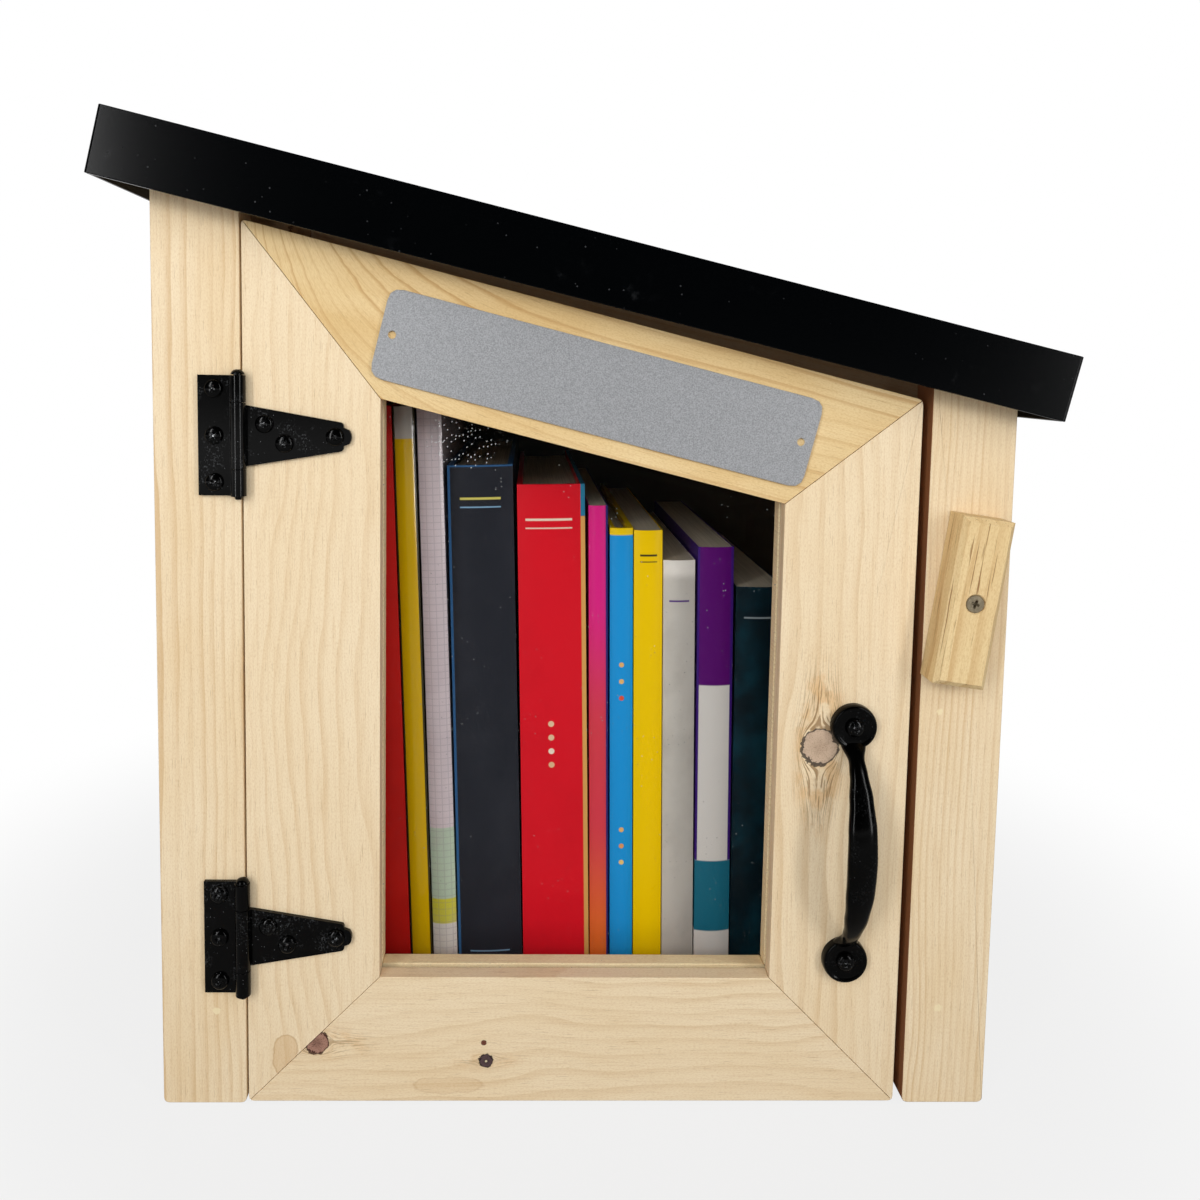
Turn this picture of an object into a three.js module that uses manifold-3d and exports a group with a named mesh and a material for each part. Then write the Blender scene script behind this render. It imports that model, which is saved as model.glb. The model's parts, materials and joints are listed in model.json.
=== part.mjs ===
// Street book exchange box: a small pine case with a one-way sloping metal roof, a mitred glazed door on
// two T-hinges, a bow pull and a wooden turn button, with a row of books standing inside.
// Millimetres, +Z up. X runs to the right seen from the front, Y runs from the front to the back.
// The origin is the middle of the underside of the floor panel.

import * as THREE from 'three';
import { mergeVertices } from 'three/addons/utils/BufferGeometryUtils.js';
import Module from 'manifold-3d';

const wasm = await Module();
wasm.setup();

// Driving dimensions of the case
const faceWidth = 381;
const bodyDepth = 280;
const boardThickness = 19;
const stileWidth = 38;
const backThickness = 12;
const jointGap = 0.3;
const easedEdge = 2.6;
const headerHeight = 26;

// Roof: a plywood deck under a folded sheet metal cap, both falling to the right
const roofPitch = THREE.MathUtils.degToRad(13.2);
const roofHeightAtLeftWall = 442;
const capLeftOverhang = 13;
const capRightOverhang = 17.8;
const capFrontOverhang = 20;
const capBackOverhang = 20;
const capSheet = 1.2;
const capFlange = 28.4;
const capBendRadius = 1.6;
const capHemHeight = 8;
const capHemSheet = 1.1;
const capCornerSlit = 0.8;
const capCornerSlitHeight = 17;
const deckThickness = 12;

// Door frame and glazing
const hingeGap = 1;
const latchGap = 4.4;
const doorBottom = 0.8;
const doorBelowRoof = 29.6;
const doorPitchOverRoof = THREE.MathUtils.degToRad(0.6);
const memberWidth = 60;
const doorCornerRadius = 2.4;
const mitreGap = 0.4;
const frameLip = 8;
const planedFrom = 6;
const planedDrop = 4;
const rebateWidth = 10;
const paneThickness = 2.4;
const paneClearance = 0.5;

// Sign plate on the top rail
const plateLength = 196.5;
const plateHeight = 40;
const plateThickness = 1.6;
const plateCornerRadius = 6;
const plateHoleRadius = 1.8;
const plateHoleInset = 5.5;
const plateDrop = 31.7;

// T-hinges
const pinRadius = 1.5;
const pinClearance = 0.3;
const pinHeadRadius = 2.5;
const pinHeadRise = 2;
const pinTail = 1.2;
const knuckleRadius = 3.4;
const knuckleSideGap = 0.4;
const pinTowardsStile = 1.1;
const hingePlate = 2;
const leafReach = 17.8;
const leafHeight = 52.6;
const middleKnuckleHeight = 29.2;
const strapBaseHeight = 27.7;
const strapShoulderHeight = 12.9;
const strapShoulderReach = 45.4;
const strapNotch = 1.6;
const strapLobeRadius = 5;
const upperHingeFromTop = 93.4;
const lowerHingeFromBottom = 80.2;
const leafScrewReach = 10.8;
const leafScrewPitch = 20.4;
const strapScrewNearReach = 11;
const strapScrewNearRise = 5.3;
const strapScrewMiddleReach = 19.7;
const strapScrewMiddleDrop = 3.2;
const strapScrewFarInset = 3.8;

// Screws
const screwHeadRadius = 4;
const screwHeadRise = 2.3;
const screwShankRadius = 1.9;
const screwLength = 15;
const screwTip = 3;
const screwClearance = 0.35;
const countersinkDepth = 2.6;
const countersunkSink = 0.2;
const buttonScrewLength = 32;

// Bow pull
const pullSpacing = 110;
const pullFromDoorEdge = 26;
const pullFromDoorBottom = 125.4;
const rosetteRadius = 10.3;
const rosetteHeight = 4.6;
const rosetteRimWidth = 1.6;
const rosetteDish = 0.9;
const gripFootInset = 8.4;
const gripBow = 25;
const gripReach = 27;
const gripNeckHalfWidth = 3.1;
const gripMiddleHalfWidth = 6.5;
const gripNeckHalfThickness = 2.7;
const gripMiddleHalfThickness = 3.4;

// Turn button
const buttonLength = 75;
const buttonWidth = 23;
const buttonThickness = 16;
const buttonChamfer = 2.2;
const buttonFromStileEdge = 22;
const buttonBelowRoof = 116.8;
const buttonLean = THREE.MathUtils.degToRad(8);

// Books, left to right. Thickness, height and depth are shares of the clear width, height and depth inside
// the case, setback is a share of the row's own setback, and lean is to the left in degrees.
const bookBoard = 2.6;
const bookSquare = 3;
const bookSpineRound = 1.6;
const bookGap = 0.5;
const firstBookGap = 11.6;
const bookRowSetback = 27;
const bookBackSpace = 6;
const books = [
  { thickness: 0.0787, height: 0.6628, depth: 0.949, setback: 0.22, lean: 2.2, hard: true },
  { thickness: 0.0787, height: 0.6776, depth: 0.972, setback: 0.15, lean: 2.2, hard: true },
  { thickness: 0.0671, height: 0.7449, depth: 0.981, setback: 0.07, lean: 2.2, hard: true },
  { thickness: 0.0309, height: 0.7461, depth: 0.991, setback: 0.07, lean: 2.2, hard: true },
  { thickness: 0.0350, height: 0.7443, depth: 0.991, setback: 0.11, lean: 2.1, hard: true },
  { thickness: 0.0939, height: 0.6751, depth: 0.963, setback: 0.15, lean: 1.8, hard: true },
  { thickness: 0.0974, height: 0.6529, depth: 0.944, setback: 0.15, lean: 1.5, hard: true },
  { thickness: 0.0280, height: 0.6281, depth: 0.880, setback: 0.19, lean: 1.2, hard: false },
  { thickness: 0.0332, height: 0.6009, depth: 0.907, setback: 0.15, lean: 1.1, hard: true },
  { thickness: 0.0414, height: 0.5985, depth: 0.833, setback: 0.15, lean: 1.1, hard: false },
  { thickness: 0.0466, height: 0.5614, depth: 0.796, setback: 0.19, lean: 1.1, hard: false },
  { thickness: 0.0519, height: 0.5787, depth: 0.815, setback: 0.15, lean: 0.9, hard: false },
  { thickness: 0.0700, height: 0.5292, depth: 0.787, setback: 0.19, lean: 0.6, hard: false },
];

// Facet counts and the overrun that cuts use
const roundSteps = 20;
const screwSteps = 12;
const cornerSteps = 3;
const gripSections = 26;
const gripSides = 16;
const cutOverrun = 2;

// Worked out from the sizes above
const leftFace = -faceWidth / 2;
const rightFace = faceWidth / 2;
const innerLeft = leftFace + boardThickness;
const innerRight = rightFace - boardThickness;
const roofSlope = Math.tan(roofPitch);
const doorPitch = roofPitch + doorPitchOverRoof;
const doorSlope = Math.tan(doorPitch);
const deckDrop = capSheet + jointGap + deckThickness + jointGap;
const capLength = (faceWidth + capLeftOverhang + capRightOverhang) / Math.cos(roofPitch);
const capDepth = bodyDepth + capFrontOverhang + capBackOverhang;
const doorLeft = leftFace + stileWidth + hingeGap;
const doorRight = rightFace - stileWidth - latchGap;
const pinX = doorLeft - hingeGap / 2 - pinTowardsStile / 2;
const pinY = -jointGap - knuckleRadius;
const hingePlateBack = -jointGap;
const hingePlateFront = hingePlateBack - hingePlate;
const pullX = doorRight - pullFromDoorEdge;
const buttonX = rightFace - buttonFromStileEdge;

const roofHeight = (x, drop) => roofHeightAtLeftWall - (x - leftFace) * roofSlope - drop / Math.cos(roofPitch);
const doorTopLeft = roofHeight(doorLeft, doorBelowRoof);
const doorTop = (x, inset) => doorTopLeft - (x - doorLeft) * doorSlope - inset / Math.cos(doorPitch);
const pullMiddleHeight = doorBottom + pullFromDoorBottom;
const buttonHeight = roofHeight(buttonX, 0) - buttonBelowRoof;
const hingeHeights = { upper: doorTopLeft - upperHingeFromTop, lower: doorBottom + lowerHingeFromBottom };
const shelfWidth = innerRight - innerLeft;
const shelfHeight = roofHeight(innerLeft, deckDrop) - boardThickness;
const shelfDepth = bodyDepth - backThickness - boardThickness - bookRowSetback - bookBackSpace;

const material = (color, roughness, metalness) =>
  new THREE.MeshStandardMaterial({ color, roughness, metalness });
const pine = material(0xe6cfa3, 0.62, 0);
const paleBeads = material(0xdcc294, 0.65, 0);
const plywood = material(0xc9ab7c, 0.75, 0);
const roofMetal = material(0x0b0c0e, 0.42, 0.3);
const blackHardware = material(0x0d0d0e, 0.35, 0.4);
const pullIron = material(0x060606, 0.18, 0.3);
const bronzeScrew = material(0x6b6252, 0.45, 0.8);
const plateMetal = material(0xa9adb1, 0.4, 0.8);
const clearPane = material(0xeef4f4, 0.05, 0);
clearPane.transparent = true;
clearPane.opacity = 0.2;
const bookColors = [
  0x6b4a2f, 0x2f4f4f, 0x8b1512, 0xd9b400, 0xe6d9d6, 0x23252f, 0xcf1020,
  0xd0207a, 0x1e8fd5, 0xf2c700, 0xc9c6c4, 0x4b1f7a, 0x10262b,
];

// Geometry to closed solid and back, for cutting and joining
function toSolid(geometry) {
  const bare = geometry.clone();
  bare.deleteAttribute('normal');
  bare.deleteAttribute('uv');
  const welded = mergeVertices(bare);
  return new wasm.Manifold(new wasm.Mesh({
    numProp: 3,
    vertProperties: Float32Array.from(welded.attributes.position.array),
    triVerts: Uint32Array.from(welded.index.array),
  }));
}

function toGeometry(solid) {
  const mesh = solid.getMesh();
  const geometry = new THREE.BufferGeometry();
  geometry.setAttribute('position', new THREE.BufferAttribute(mesh.vertProperties, mesh.numProp));
  geometry.setIndex(new THREE.BufferAttribute(mesh.triVerts, 1));
  geometry.computeVertexNormals();
  return geometry;
}

function named(name, solid, look) {
  const mesh = new THREE.Mesh(toGeometry(solid), look);
  mesh.name = name;
  return mesh;
}

// A straight-sided outline, with its corners rounded where a radius is given
function outline(points, radius = 0) {
  const shape = new THREE.Shape();
  const corners = points.map(([x, y]) => new THREE.Vector2(x, y));
  if (!radius) return shape.setFromPoints(corners);
  corners.forEach((corner, i) => {
    const before = corners[(i + corners.length - 1) % corners.length];
    const after = corners[(i + 1) % corners.length];
    const start = corner.clone().add(before.clone().sub(corner).setLength(radius));
    const end = corner.clone().add(after.clone().sub(corner).setLength(radius));
    if (i === 0) shape.moveTo(start.x, start.y);
    else shape.lineTo(start.x, start.y);
    shape.quadraticCurveTo(corner.x, corner.y, end.x, end.y);
  });
  shape.closePath();
  return shape;
}

// An outline in X and Z made thick along Y
function slab(shape, front, back) {
  const options = { depth: back - front, bevelEnabled: false, curveSegments: cornerSteps };
  const geometry = new THREE.ExtrudeGeometry(shape, options);
  geometry.rotateX(Math.PI / 2);
  geometry.translate(0, back, 0);
  return toSolid(geometry);
}

function block([x0, x1], [y0, y1], [z0, z1]) {
  const geometry = new THREE.BoxGeometry(x1 - x0, y1 - y0, z1 - z0);
  geometry.translate((x0 + x1) / 2, (y0 + y1) / 2, (z0 + z1) / 2);
  return toSolid(geometry);
}

// A round bar along Y
function barAlongY(radius, x, z, [y0, y1], steps = screwSteps) {
  const geometry = new THREE.CylinderGeometry(radius, radius, y1 - y0, steps);
  geometry.translate(x, (y0 + y1) / 2, z);
  return toSolid(geometry);
}

// A round bar along Z
function barAlongZ(radius, x, y, [z0, z1], steps = roundSteps) {
  const geometry = new THREE.CylinderGeometry(radius, radius, z1 - z0, steps);
  geometry.rotateX(Math.PI / 2);
  geometry.translate(x, y, (z0 + z1) / 2);
  return toSolid(geometry);
}

// A turned piece round the Y axis, from a profile of radius and Y that starts at the lowest Y
function turned(profile, steps) {
  const points = profile.map(([radius, y]) => new THREE.Vector2(radius, y));
  return toSolid(new THREE.LatheGeometry(points, steps));
}

// A closed skin over rings of equally many points, with a fan over each end
function loft(rings) {
  const positions = rings.flat().flatMap((p) => [p.x, p.y, p.z]);
  const index = [];
  const sides = rings[0].length;
  for (let ring = 0; ring < rings.length - 1; ring += 1) {
    for (let side = 0; side < sides; side += 1) {
      const a = ring * sides + side;
      const b = ring * sides + (side + 1) % sides;
      index.push(a, b, a + sides, b, b + sides, a + sides);
    }
  }
  const last = (rings.length - 1) * sides;
  for (let side = 1; side < sides - 1; side += 1) {
    index.push(0, side + 1, side);
    index.push(last, last + side, last + side + 1);
  }
  const geometry = new THREE.BufferGeometry();
  geometry.setAttribute('position', new THREE.Float32BufferAttribute(positions, 3));
  geometry.setIndex(index);
  return toSolid(geometry);
}

const joined = (solids) => solids.reduce((sum, next) => sum.add(next));

// Domed pan-head screw, its head resting on y = 0 and its shank running to +Y
function panScrew() {
  return turned([
    [0, -screwHeadRise],
    [screwHeadRadius * 0.45, -screwHeadRise * 0.96],
    [screwHeadRadius * 0.82, -screwHeadRise * 0.72],
    [screwHeadRadius, -screwHeadRise * 0.28],
    [screwHeadRadius * 0.96, 0],
    [screwShankRadius, 0],
    [screwShankRadius, screwLength - screwTip],
    [screwShankRadius * 0.3, screwLength - screwTip * 0.3],
    [0, screwLength],
  ], screwSteps);
}

// Countersunk screw, its flat head flush with y = 0
function flatScrew(length) {
  return turned([
    [0, 0],
    [screwHeadRadius * 0.97, 0],
    [screwHeadRadius, screwHeadRise * 0.12],
    [screwShankRadius, countersinkDepth],
    [screwShankRadius, length - screwTip],
    [screwShankRadius * 0.3, length - screwTip * 0.3],
    [0, length],
  ], screwSteps);
}

// Screw places on the front, each with the Y where its head rests
const leafScrews = [leafScrewPitch, 0, -leafScrewPitch].map((rise) => [-leafScrewReach, rise]);
const strapScrews = [
  [strapScrewNearReach, strapScrewNearRise],
  [strapScrewMiddleReach, -strapScrewMiddleDrop],
  [strapShoulderReach - strapScrewFarInset, 0],
];
const pullScrewHeights = [pullMiddleHeight + pullSpacing / 2, pullMiddleHeight - pullSpacing / 2];

// Pilot holes that the wood has for the hinge, pull and turn button screws
function pilotHoles() {
  const radius = screwShankRadius + screwClearance;
  const depth = [-cutOverrun, screwLength];
  const holes = Object.values(hingeHeights).flatMap((height) =>
    [...leafScrews, ...strapScrews].map(([reach, rise]) =>
      barAlongY(radius, pinX + reach, height + rise, depth)));
  pullScrewHeights.forEach((height) => holes.push(barAlongY(radius, pullX, height, depth)));
  holes.push(barAlongY(radius, buttonX, buttonHeight, [-cutOverrun, buttonScrewLength - buttonThickness]));
  return joined(holes);
}

// Case

function faceStile(x0, x1, holes) {
  const points = [[x0, 0], [x1, 0], [x1, roofHeight(x1, deckDrop)], [x0, roofHeight(x0, deckDrop)]];
  return slab(outline(points, easedEdge), 0, boardThickness).subtract(holes);
}

function sidePanel(x0, x1) {
  const points = [[x0, 0], [x1, 0], [x1, roofHeight(x1, deckDrop)], [x0, roofHeight(x0, deckDrop)]];
  return slab(outline(points), boardThickness + jointGap, bodyDepth - backThickness - jointGap);
}

function backPanel() {
  const top = (x) => roofHeight(x, deckDrop);
  const points = [[leftFace, 0], [rightFace, 0], [rightFace, top(rightFace)], [leftFace, top(leftFace)]];
  return slab(outline(points), bodyDepth - backThickness, bodyDepth);
}

function floorPanel() {
  return block(
    [innerLeft + jointGap, innerRight - jointGap],
    [boardThickness + jointGap, bodyDepth - backThickness - jointGap],
    [0, boardThickness],
  );
}

// The header stands behind the door's plane, so the door's top rail closes against it
function headerRail() {
  const x0 = innerLeft + jointGap;
  const x1 = innerRight - jointGap;
  const top = (x) => roofHeight(x, deckDrop);
  const points = [[x0, top(x0) - headerHeight], [x1, top(x1) - headerHeight], [x1, top(x1)], [x0, top(x0)]];
  return slab(outline(points), boardThickness + jointGap, boardThickness + jointGap + boardThickness);
}

// Roof, built level round its own middle and then tilted

function roofCap() {
  const reach = capLength / 2;
  const run = capDepth / 2;
  const corners = (inset) => [
    [-reach + inset, -run + inset], [reach - inset, -run + inset],
    [reach - inset, run - inset], [-reach + inset, run - inset],
  ];
  const tray = (inset, radius, top, bottom) => {
    const options = { depth: top - bottom, bevelEnabled: false, curveSegments: cornerSteps };
    const geometry = new THREE.ExtrudeGeometry(outline(corners(inset), radius), options);
    geometry.translate(0, 0, bottom);
    return toSolid(geometry);
  };
  const inside = tray(capSheet, 0, -capSheet, -capFlange + capHemHeight);
  const insideHem = tray(capSheet + capHemSheet, 0, -capSheet, -capFlange - cutOverrun);
  const slits = [-1, 1].flatMap((side) => [-1, 1].map((end) => {
    const x = side * (reach - capSheet - capHemSheet / 2);
    const y = end * (run - capSheet - capHemSheet - capCornerSlit / 2);
    return block(
      [x - capSheet - cutOverrun, x + capSheet + cutOverrun],
      [y - capCornerSlit / 2, y + capCornerSlit / 2],
      [-capFlange - cutOverrun, -capFlange + capCornerSlitHeight],
    );
  }));
  return tray(0, capBendRadius, 0, -capFlange).subtract(inside).subtract(insideHem)
    .subtract(joined(slits));
}

function roofDeck() {
  const inset = capSheet + capHemSheet + jointGap;
  const reach = capLength / 2 - inset;
  const run = capDepth / 2 - inset;
  const top = -capSheet - jointGap;
  return block([-reach, reach], [-run, run], [top - deckThickness, top]);
}

// Door

// The door's outline, drawn in by the same distance on all four sides, from its lower left corner round
function doorOutline(inset) {
  const x0 = doorLeft + inset;
  const x1 = doorRight - inset;
  const z0 = doorBottom + inset;
  return [[x0, z0], [x1, z0], [x1, doorTop(x1, inset)], [x0, doorTop(x0, inset)]];
}

// One side of a mitred frame between two such outlines, with half the joint line off each end
function mitredSide(outer, inner, side, front, back) {
  const next = (side + 1) % outer.length;
  const along = new THREE.Vector2(...outer[next]).sub(new THREE.Vector2(...outer[side])).normalize();
  const shift = ([x, y], distance) => [x + along.x * distance, y + along.y * distance];
  const half = mitreGap / 2;
  return slab(outline([
    shift(outer[side], half), shift(outer[next], -half), shift(inner[next], -half), shift(inner[side], half),
  ]), front, back);
}

// The door's top edge is planed off towards the back, so that it clears the roof's front flange as it swings
function planedTop() {
  const rear = boardThickness + cutOverrun;
  const drop = planedDrop * (rear - planedFrom) / (boardThickness - planedFrom);
  const profile = [[planedFrom, 0], [rear, -drop], [rear, cutOverrun], [planedFrom, cutOverrun]];
  const ring = (x) => profile.map(([y, rise]) => new THREE.Vector3(x, y, doorTop(x, 0) + rise));
  return loft([ring(doorLeft - cutOverrun), ring(doorRight + cutOverrun)]);
}

function doorMembers(holes) {
  const rebate = slab(outline(doorOutline(memberWidth - rebateWidth)), frameLip, boardThickness + cutOverrun);
  const rounded = slab(outline(doorOutline(0), doorCornerRadius), 0, boardThickness).subtract(planedTop());
  const sides = ['door_bottom_rail', 'door_latch_stile', 'door_top_rail', 'door_hinge_stile'];
  return sides.map((name, side) => {
    const member = mitredSide(doorOutline(-cutOverrun), doorOutline(memberWidth), side, 0, boardThickness);
    return named(name, member.intersect(rounded).subtract(rebate).subtract(holes), pine);
  });
}

function windowPane() {
  const inset = memberWidth - rebateWidth + paneClearance;
  return slab(outline(doorOutline(inset)), frameLip + jointGap, frameLip + jointGap + paneThickness);
}

function glazingBeads() {
  const front = frameLip + jointGap + paneThickness + jointGap;
  const outer = doorOutline(memberWidth - rebateWidth + jointGap);
  const sides = ['glazing_bead_bottom', 'glazing_bead_right', 'glazing_bead_top', 'glazing_bead_left'];
  return sides.map((name, side) =>
    named(name, mitredSide(outer, doorOutline(memberWidth), side, front, boardThickness), paleBeads));
}

// The plate is drawn level round its own middle, and the mesh is then turned to the slope of the top rail
function signPlate() {
  const reach = plateLength / 2;
  const rise = plateHeight / 2;
  const corners = [[-reach, -rise], [reach, -rise], [reach, rise], [-reach, rise]];
  const holes = [-1, 1].map((side) => barAlongY(
    plateHoleRadius, side * (reach - plateHoleInset), 0, [-plateThickness - cutOverrun, cutOverrun],
  ));
  return slab(outline(corners, plateCornerRadius), -plateThickness, 0).subtract(joined(holes));
}

// T-hinge pieces, in the hinge's own frame: the pin's axis at x = 0, the middle of the hinge at z = 0

const knuckle = ([z0, z1]) => barAlongZ(knuckleRadius, 0, pinY, [z0, z1]);

function hingeBore() {
  const reach = leafHeight / 2 + cutOverrun;
  return barAlongZ(pinRadius + pinClearance, 0, pinY, [-reach, reach]);
}

function screwHoles(places) {
  const radius = screwShankRadius + screwClearance;
  const depth = [hingePlateFront - cutOverrun, cutOverrun];
  return joined(places.map(([reach, rise]) => barAlongY(radius, reach, rise, depth)));
}

function hingeLeaf() {
  const top = leafHeight / 2;
  const middle = middleKnuckleHeight / 2;
  const plate = block([-leafReach, 0], [hingePlateFront, hingePlateBack], [-top, top]);
  const relief = block(
    [-knuckleRadius - knuckleSideGap, knuckleRadius + cutOverrun],
    [pinY - knuckleRadius - cutOverrun, cutOverrun],
    [-middle, middle],
  );
  return plate.add(knuckle([-top, top])).subtract(relief).subtract(hingeBore())
    .subtract(screwHoles(leafScrews));
}

function hingeStrap() {
  const base = strapBaseHeight / 2;
  const shoulder = strapShoulderHeight / 2;
  const lobeStart = strapShoulderReach - strapNotch;
  const notch = strapLobeRadius * 0.62;
  const shape = new THREE.Shape();
  shape.moveTo(0, -base);
  shape.lineTo(strapShoulderReach - strapNotch, -shoulder);
  shape.quadraticCurveTo(strapShoulderReach, -shoulder, strapShoulderReach, -notch * 1.3);
  shape.absarc(lobeStart, 0, strapLobeRadius, -Math.asin(0.62), Math.asin(0.62), false);
  shape.lineTo(strapShoulderReach, notch * 1.3);
  shape.quadraticCurveTo(strapShoulderReach, shoulder, strapShoulderReach - strapNotch, shoulder);
  shape.lineTo(0, base);
  shape.closePath();
  const middle = middleKnuckleHeight / 2 - knuckleSideGap / 2;
  return slab(shape, hingePlateFront, hingePlateBack)
    .add(knuckle([-middle, middle]))
    .subtract(hingeBore())
    .subtract(screwHoles(strapScrews));
}

// The pin has a domed head above the top knuckle and a peened tail below the bottom one
function hingePin() {
  const top = leafHeight / 2;
  const rest = top + jointGap;
  const pin = turned([
    [0, -rest - pinTail],
    [pinRadius * 0.8, -rest - pinTail],
    [pinRadius, -rest - pinTail * 0.6],
    [pinRadius, rest],
    [pinHeadRadius, rest],
    [pinHeadRadius, rest + pinHeadRise * 0.35],
    [pinHeadRadius * 0.62, rest + pinHeadRise * 0.85],
    [0, rest + pinHeadRise],
  ], screwSteps);
  return pin.rotate([90, 0, 0]).translate([0, pinY, 0]);
}

function tHinge(prefix) {
  const hinge = new THREE.Group();
  hinge.position.set(pinX, 0, hingeHeights[prefix]);
  hinge.add(
    named(`${prefix}_hinge_leaf`, hingeLeaf(), blackHardware),
    named(`${prefix}_hinge_strap`, hingeStrap(), blackHardware),
    named(`${prefix}_hinge_pin`, hingePin(), blackHardware),
  );
  const place = (kind, places) => places.forEach(([reach, rise], i) => {
    const screw = named(`${prefix}_${kind}_screw_${i + 1}`, panScrew(), blackHardware);
    screw.position.set(reach, hingePlateFront - jointGap, rise);
    hinge.add(screw);
  });
  place('leaf', leafScrews);
  place('strap', strapScrews);
  return hinge;
}

// Bow pull: an oval grip lofted along a bowed path between two dished rosettes.
// In its own frame the door's face is y = 0 and the middle of the pull is z = 0.

function pullGrip() {
  const foot = pullSpacing / 2 - gripFootInset;
  const footY = -rosetteHeight / 2;
  const path = new THREE.CubicBezierCurve3(
    new THREE.Vector3(0, footY, -foot),
    new THREE.Vector3(0, footY - gripBow, -gripReach),
    new THREE.Vector3(0, footY - gripBow, gripReach),
    new THREE.Vector3(0, footY, foot),
  );
  const across = new THREE.Vector3(1, 0, 0);
  const rings = [];
  for (let step = 0; step <= gripSections; step += 1) {
    const share = step / gripSections;
    const swell = Math.sin(Math.PI * share) ** 1.6;
    const halfWidth = THREE.MathUtils.lerp(gripNeckHalfWidth, gripMiddleHalfWidth, swell);
    const halfThickness = THREE.MathUtils.lerp(gripNeckHalfThickness, gripMiddleHalfThickness, swell);
    const middle = path.getPoint(share);
    const outward = path.getTangent(share).cross(across);
    const ring = [];
    for (let side = 0; side < gripSides; side += 1) {
      const angle = (side / gripSides) * 2 * Math.PI;
      ring.push(middle.clone()
        .addScaledVector(across, halfWidth * Math.cos(angle))
        .addScaledVector(outward, halfThickness * Math.sin(angle)));
    }
    rings.push(ring);
  }
  return loft(rings);
}

function rosette(z) {
  const rim = rosetteRadius - rosetteRimWidth;
  const disc = turned([
    [0, -rosetteHeight + rosetteDish],
    [screwHeadRadius + screwClearance, -rosetteHeight + rosetteDish],
    [rim * 0.9, -rosetteHeight + rosetteDish * 0.6],
    [rim, -rosetteHeight],
    [rosetteRadius - rosetteRimWidth * 0.35, -rosetteHeight * 0.9],
    [rosetteRadius, -rosetteHeight * 0.55],
    [rosetteRadius, 0],
    [0, 0],
  ], roundSteps);
  return disc.translate([0, -jointGap, z]);
}

function doorPull() {
  const ends = [pullSpacing / 2, -pullSpacing / 2];
  const seat = -jointGap - rosetteHeight + rosetteDish;
  const holes = ends.map((z) =>
    barAlongY(screwShankRadius + screwClearance, 0, z, [seat - cutOverrun, cutOverrun])
      .add(barAlongY(screwHeadRadius + screwClearance, 0, z, [seat - rosetteHeight, seat], roundSteps)));
  const behindDoor = block(
    [-rosetteRadius, rosetteRadius],
    [-jointGap, rosetteHeight],
    [-pullSpacing, pullSpacing],
  );
  return joined([pullGrip(), ...ends.map(rosette)]).subtract(joined(holes)).subtract(behindDoor);
}

function pull() {
  const group = new THREE.Group();
  group.position.set(pullX, 0, pullMiddleHeight);
  group.add(named('door_pull', doorPull(), pullIron));
  ['upper', 'lower'].forEach((which, i) => {
    const screw = named(`${which}_pull_screw`, panScrew(), blackHardware);
    screw.position.set(0, -rosetteHeight + rosetteDish - 2 * jointGap, pullScrewHeights[i] - pullMiddleHeight);
    group.add(screw);
  });
  return group;
}

// Turn button: a chamfered block that turns on a countersunk screw in the latch side stile
function turnButton() {
  const reach = buttonLength / 2;
  const rise = buttonWidth / 2;
  const back = -jointGap;
  const front = back - buttonThickness;
  const face = (inset) => outline([
    [-reach + inset, -rise + inset], [reach - inset, -rise + inset],
    [reach - inset, rise - inset], [-reach + inset, rise - inset],
  ]);
  const rim = slab(face(0), front + buttonChamfer, back);
  const ring = (inset, y) => [[-1, -1], [1, -1], [1, 1], [-1, 1]].map(([sx, sz]) =>
    new THREE.Vector3(sx * (reach - inset), y, sz * (rise - inset)));
  const chamfer = loft([ring(buttonChamfer, front), ring(0, front + buttonChamfer)].reverse());
  const hole = barAlongY(screwShankRadius + screwClearance, 0, 0, [front - cutOverrun, cutOverrun]);
  const sink = turned([
    [0, front - cutOverrun],
    [screwHeadRadius + screwClearance * 1.6, front - cutOverrun],
    [screwHeadRadius + screwClearance * 1.6, front],
    [screwShankRadius + screwClearance, front + countersinkDepth + screwClearance],
    [0, front + countersinkDepth + screwClearance],
  ], roundSteps);
  return rim.add(chamfer).subtract(hole).subtract(sink);
}

function turnCatch() {
  const group = new THREE.Group();
  group.position.set(buttonX, 0, buttonHeight);
  group.rotation.y = buttonLean - Math.PI / 2;
  const screw = named('turn_button_screw', flatScrew(buttonScrewLength), bronzeScrew);
  screw.position.y = -jointGap - buttonThickness + countersunkSink;
  group.add(named('turn_button', turnButton(), pine), screw);
  return group;
}

// Books, each with its spine to the front, standing on the floor and leaning to the left

function book(thickness, height, depth, hard) {
  const shape = new THREE.Shape();
  shape.moveTo(0, bookSpineRound);
  shape.quadraticCurveTo(thickness / 2, -bookSpineRound, thickness, bookSpineRound);
  shape.lineTo(thickness, depth);
  shape.lineTo(0, depth);
  shape.closePath();
  const options = { depth: height, bevelEnabled: false, curveSegments: 2 * cornerSteps };
  const whole = toSolid(new THREE.ExtrudeGeometry(shape, options));
  if (!hard) return whole;
  const between = [bookBoard, thickness - bookBoard];
  const pages = block(between, [bookBoard, depth - bookSquare], [bookSquare, height - bookSquare]);
  const room = block(between, [bookBoard + bookSpineRound, depth + cutOverrun], [-cutOverrun, height + cutOverrun]);
  return whole.subtract(room.subtract(pages));
}

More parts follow.
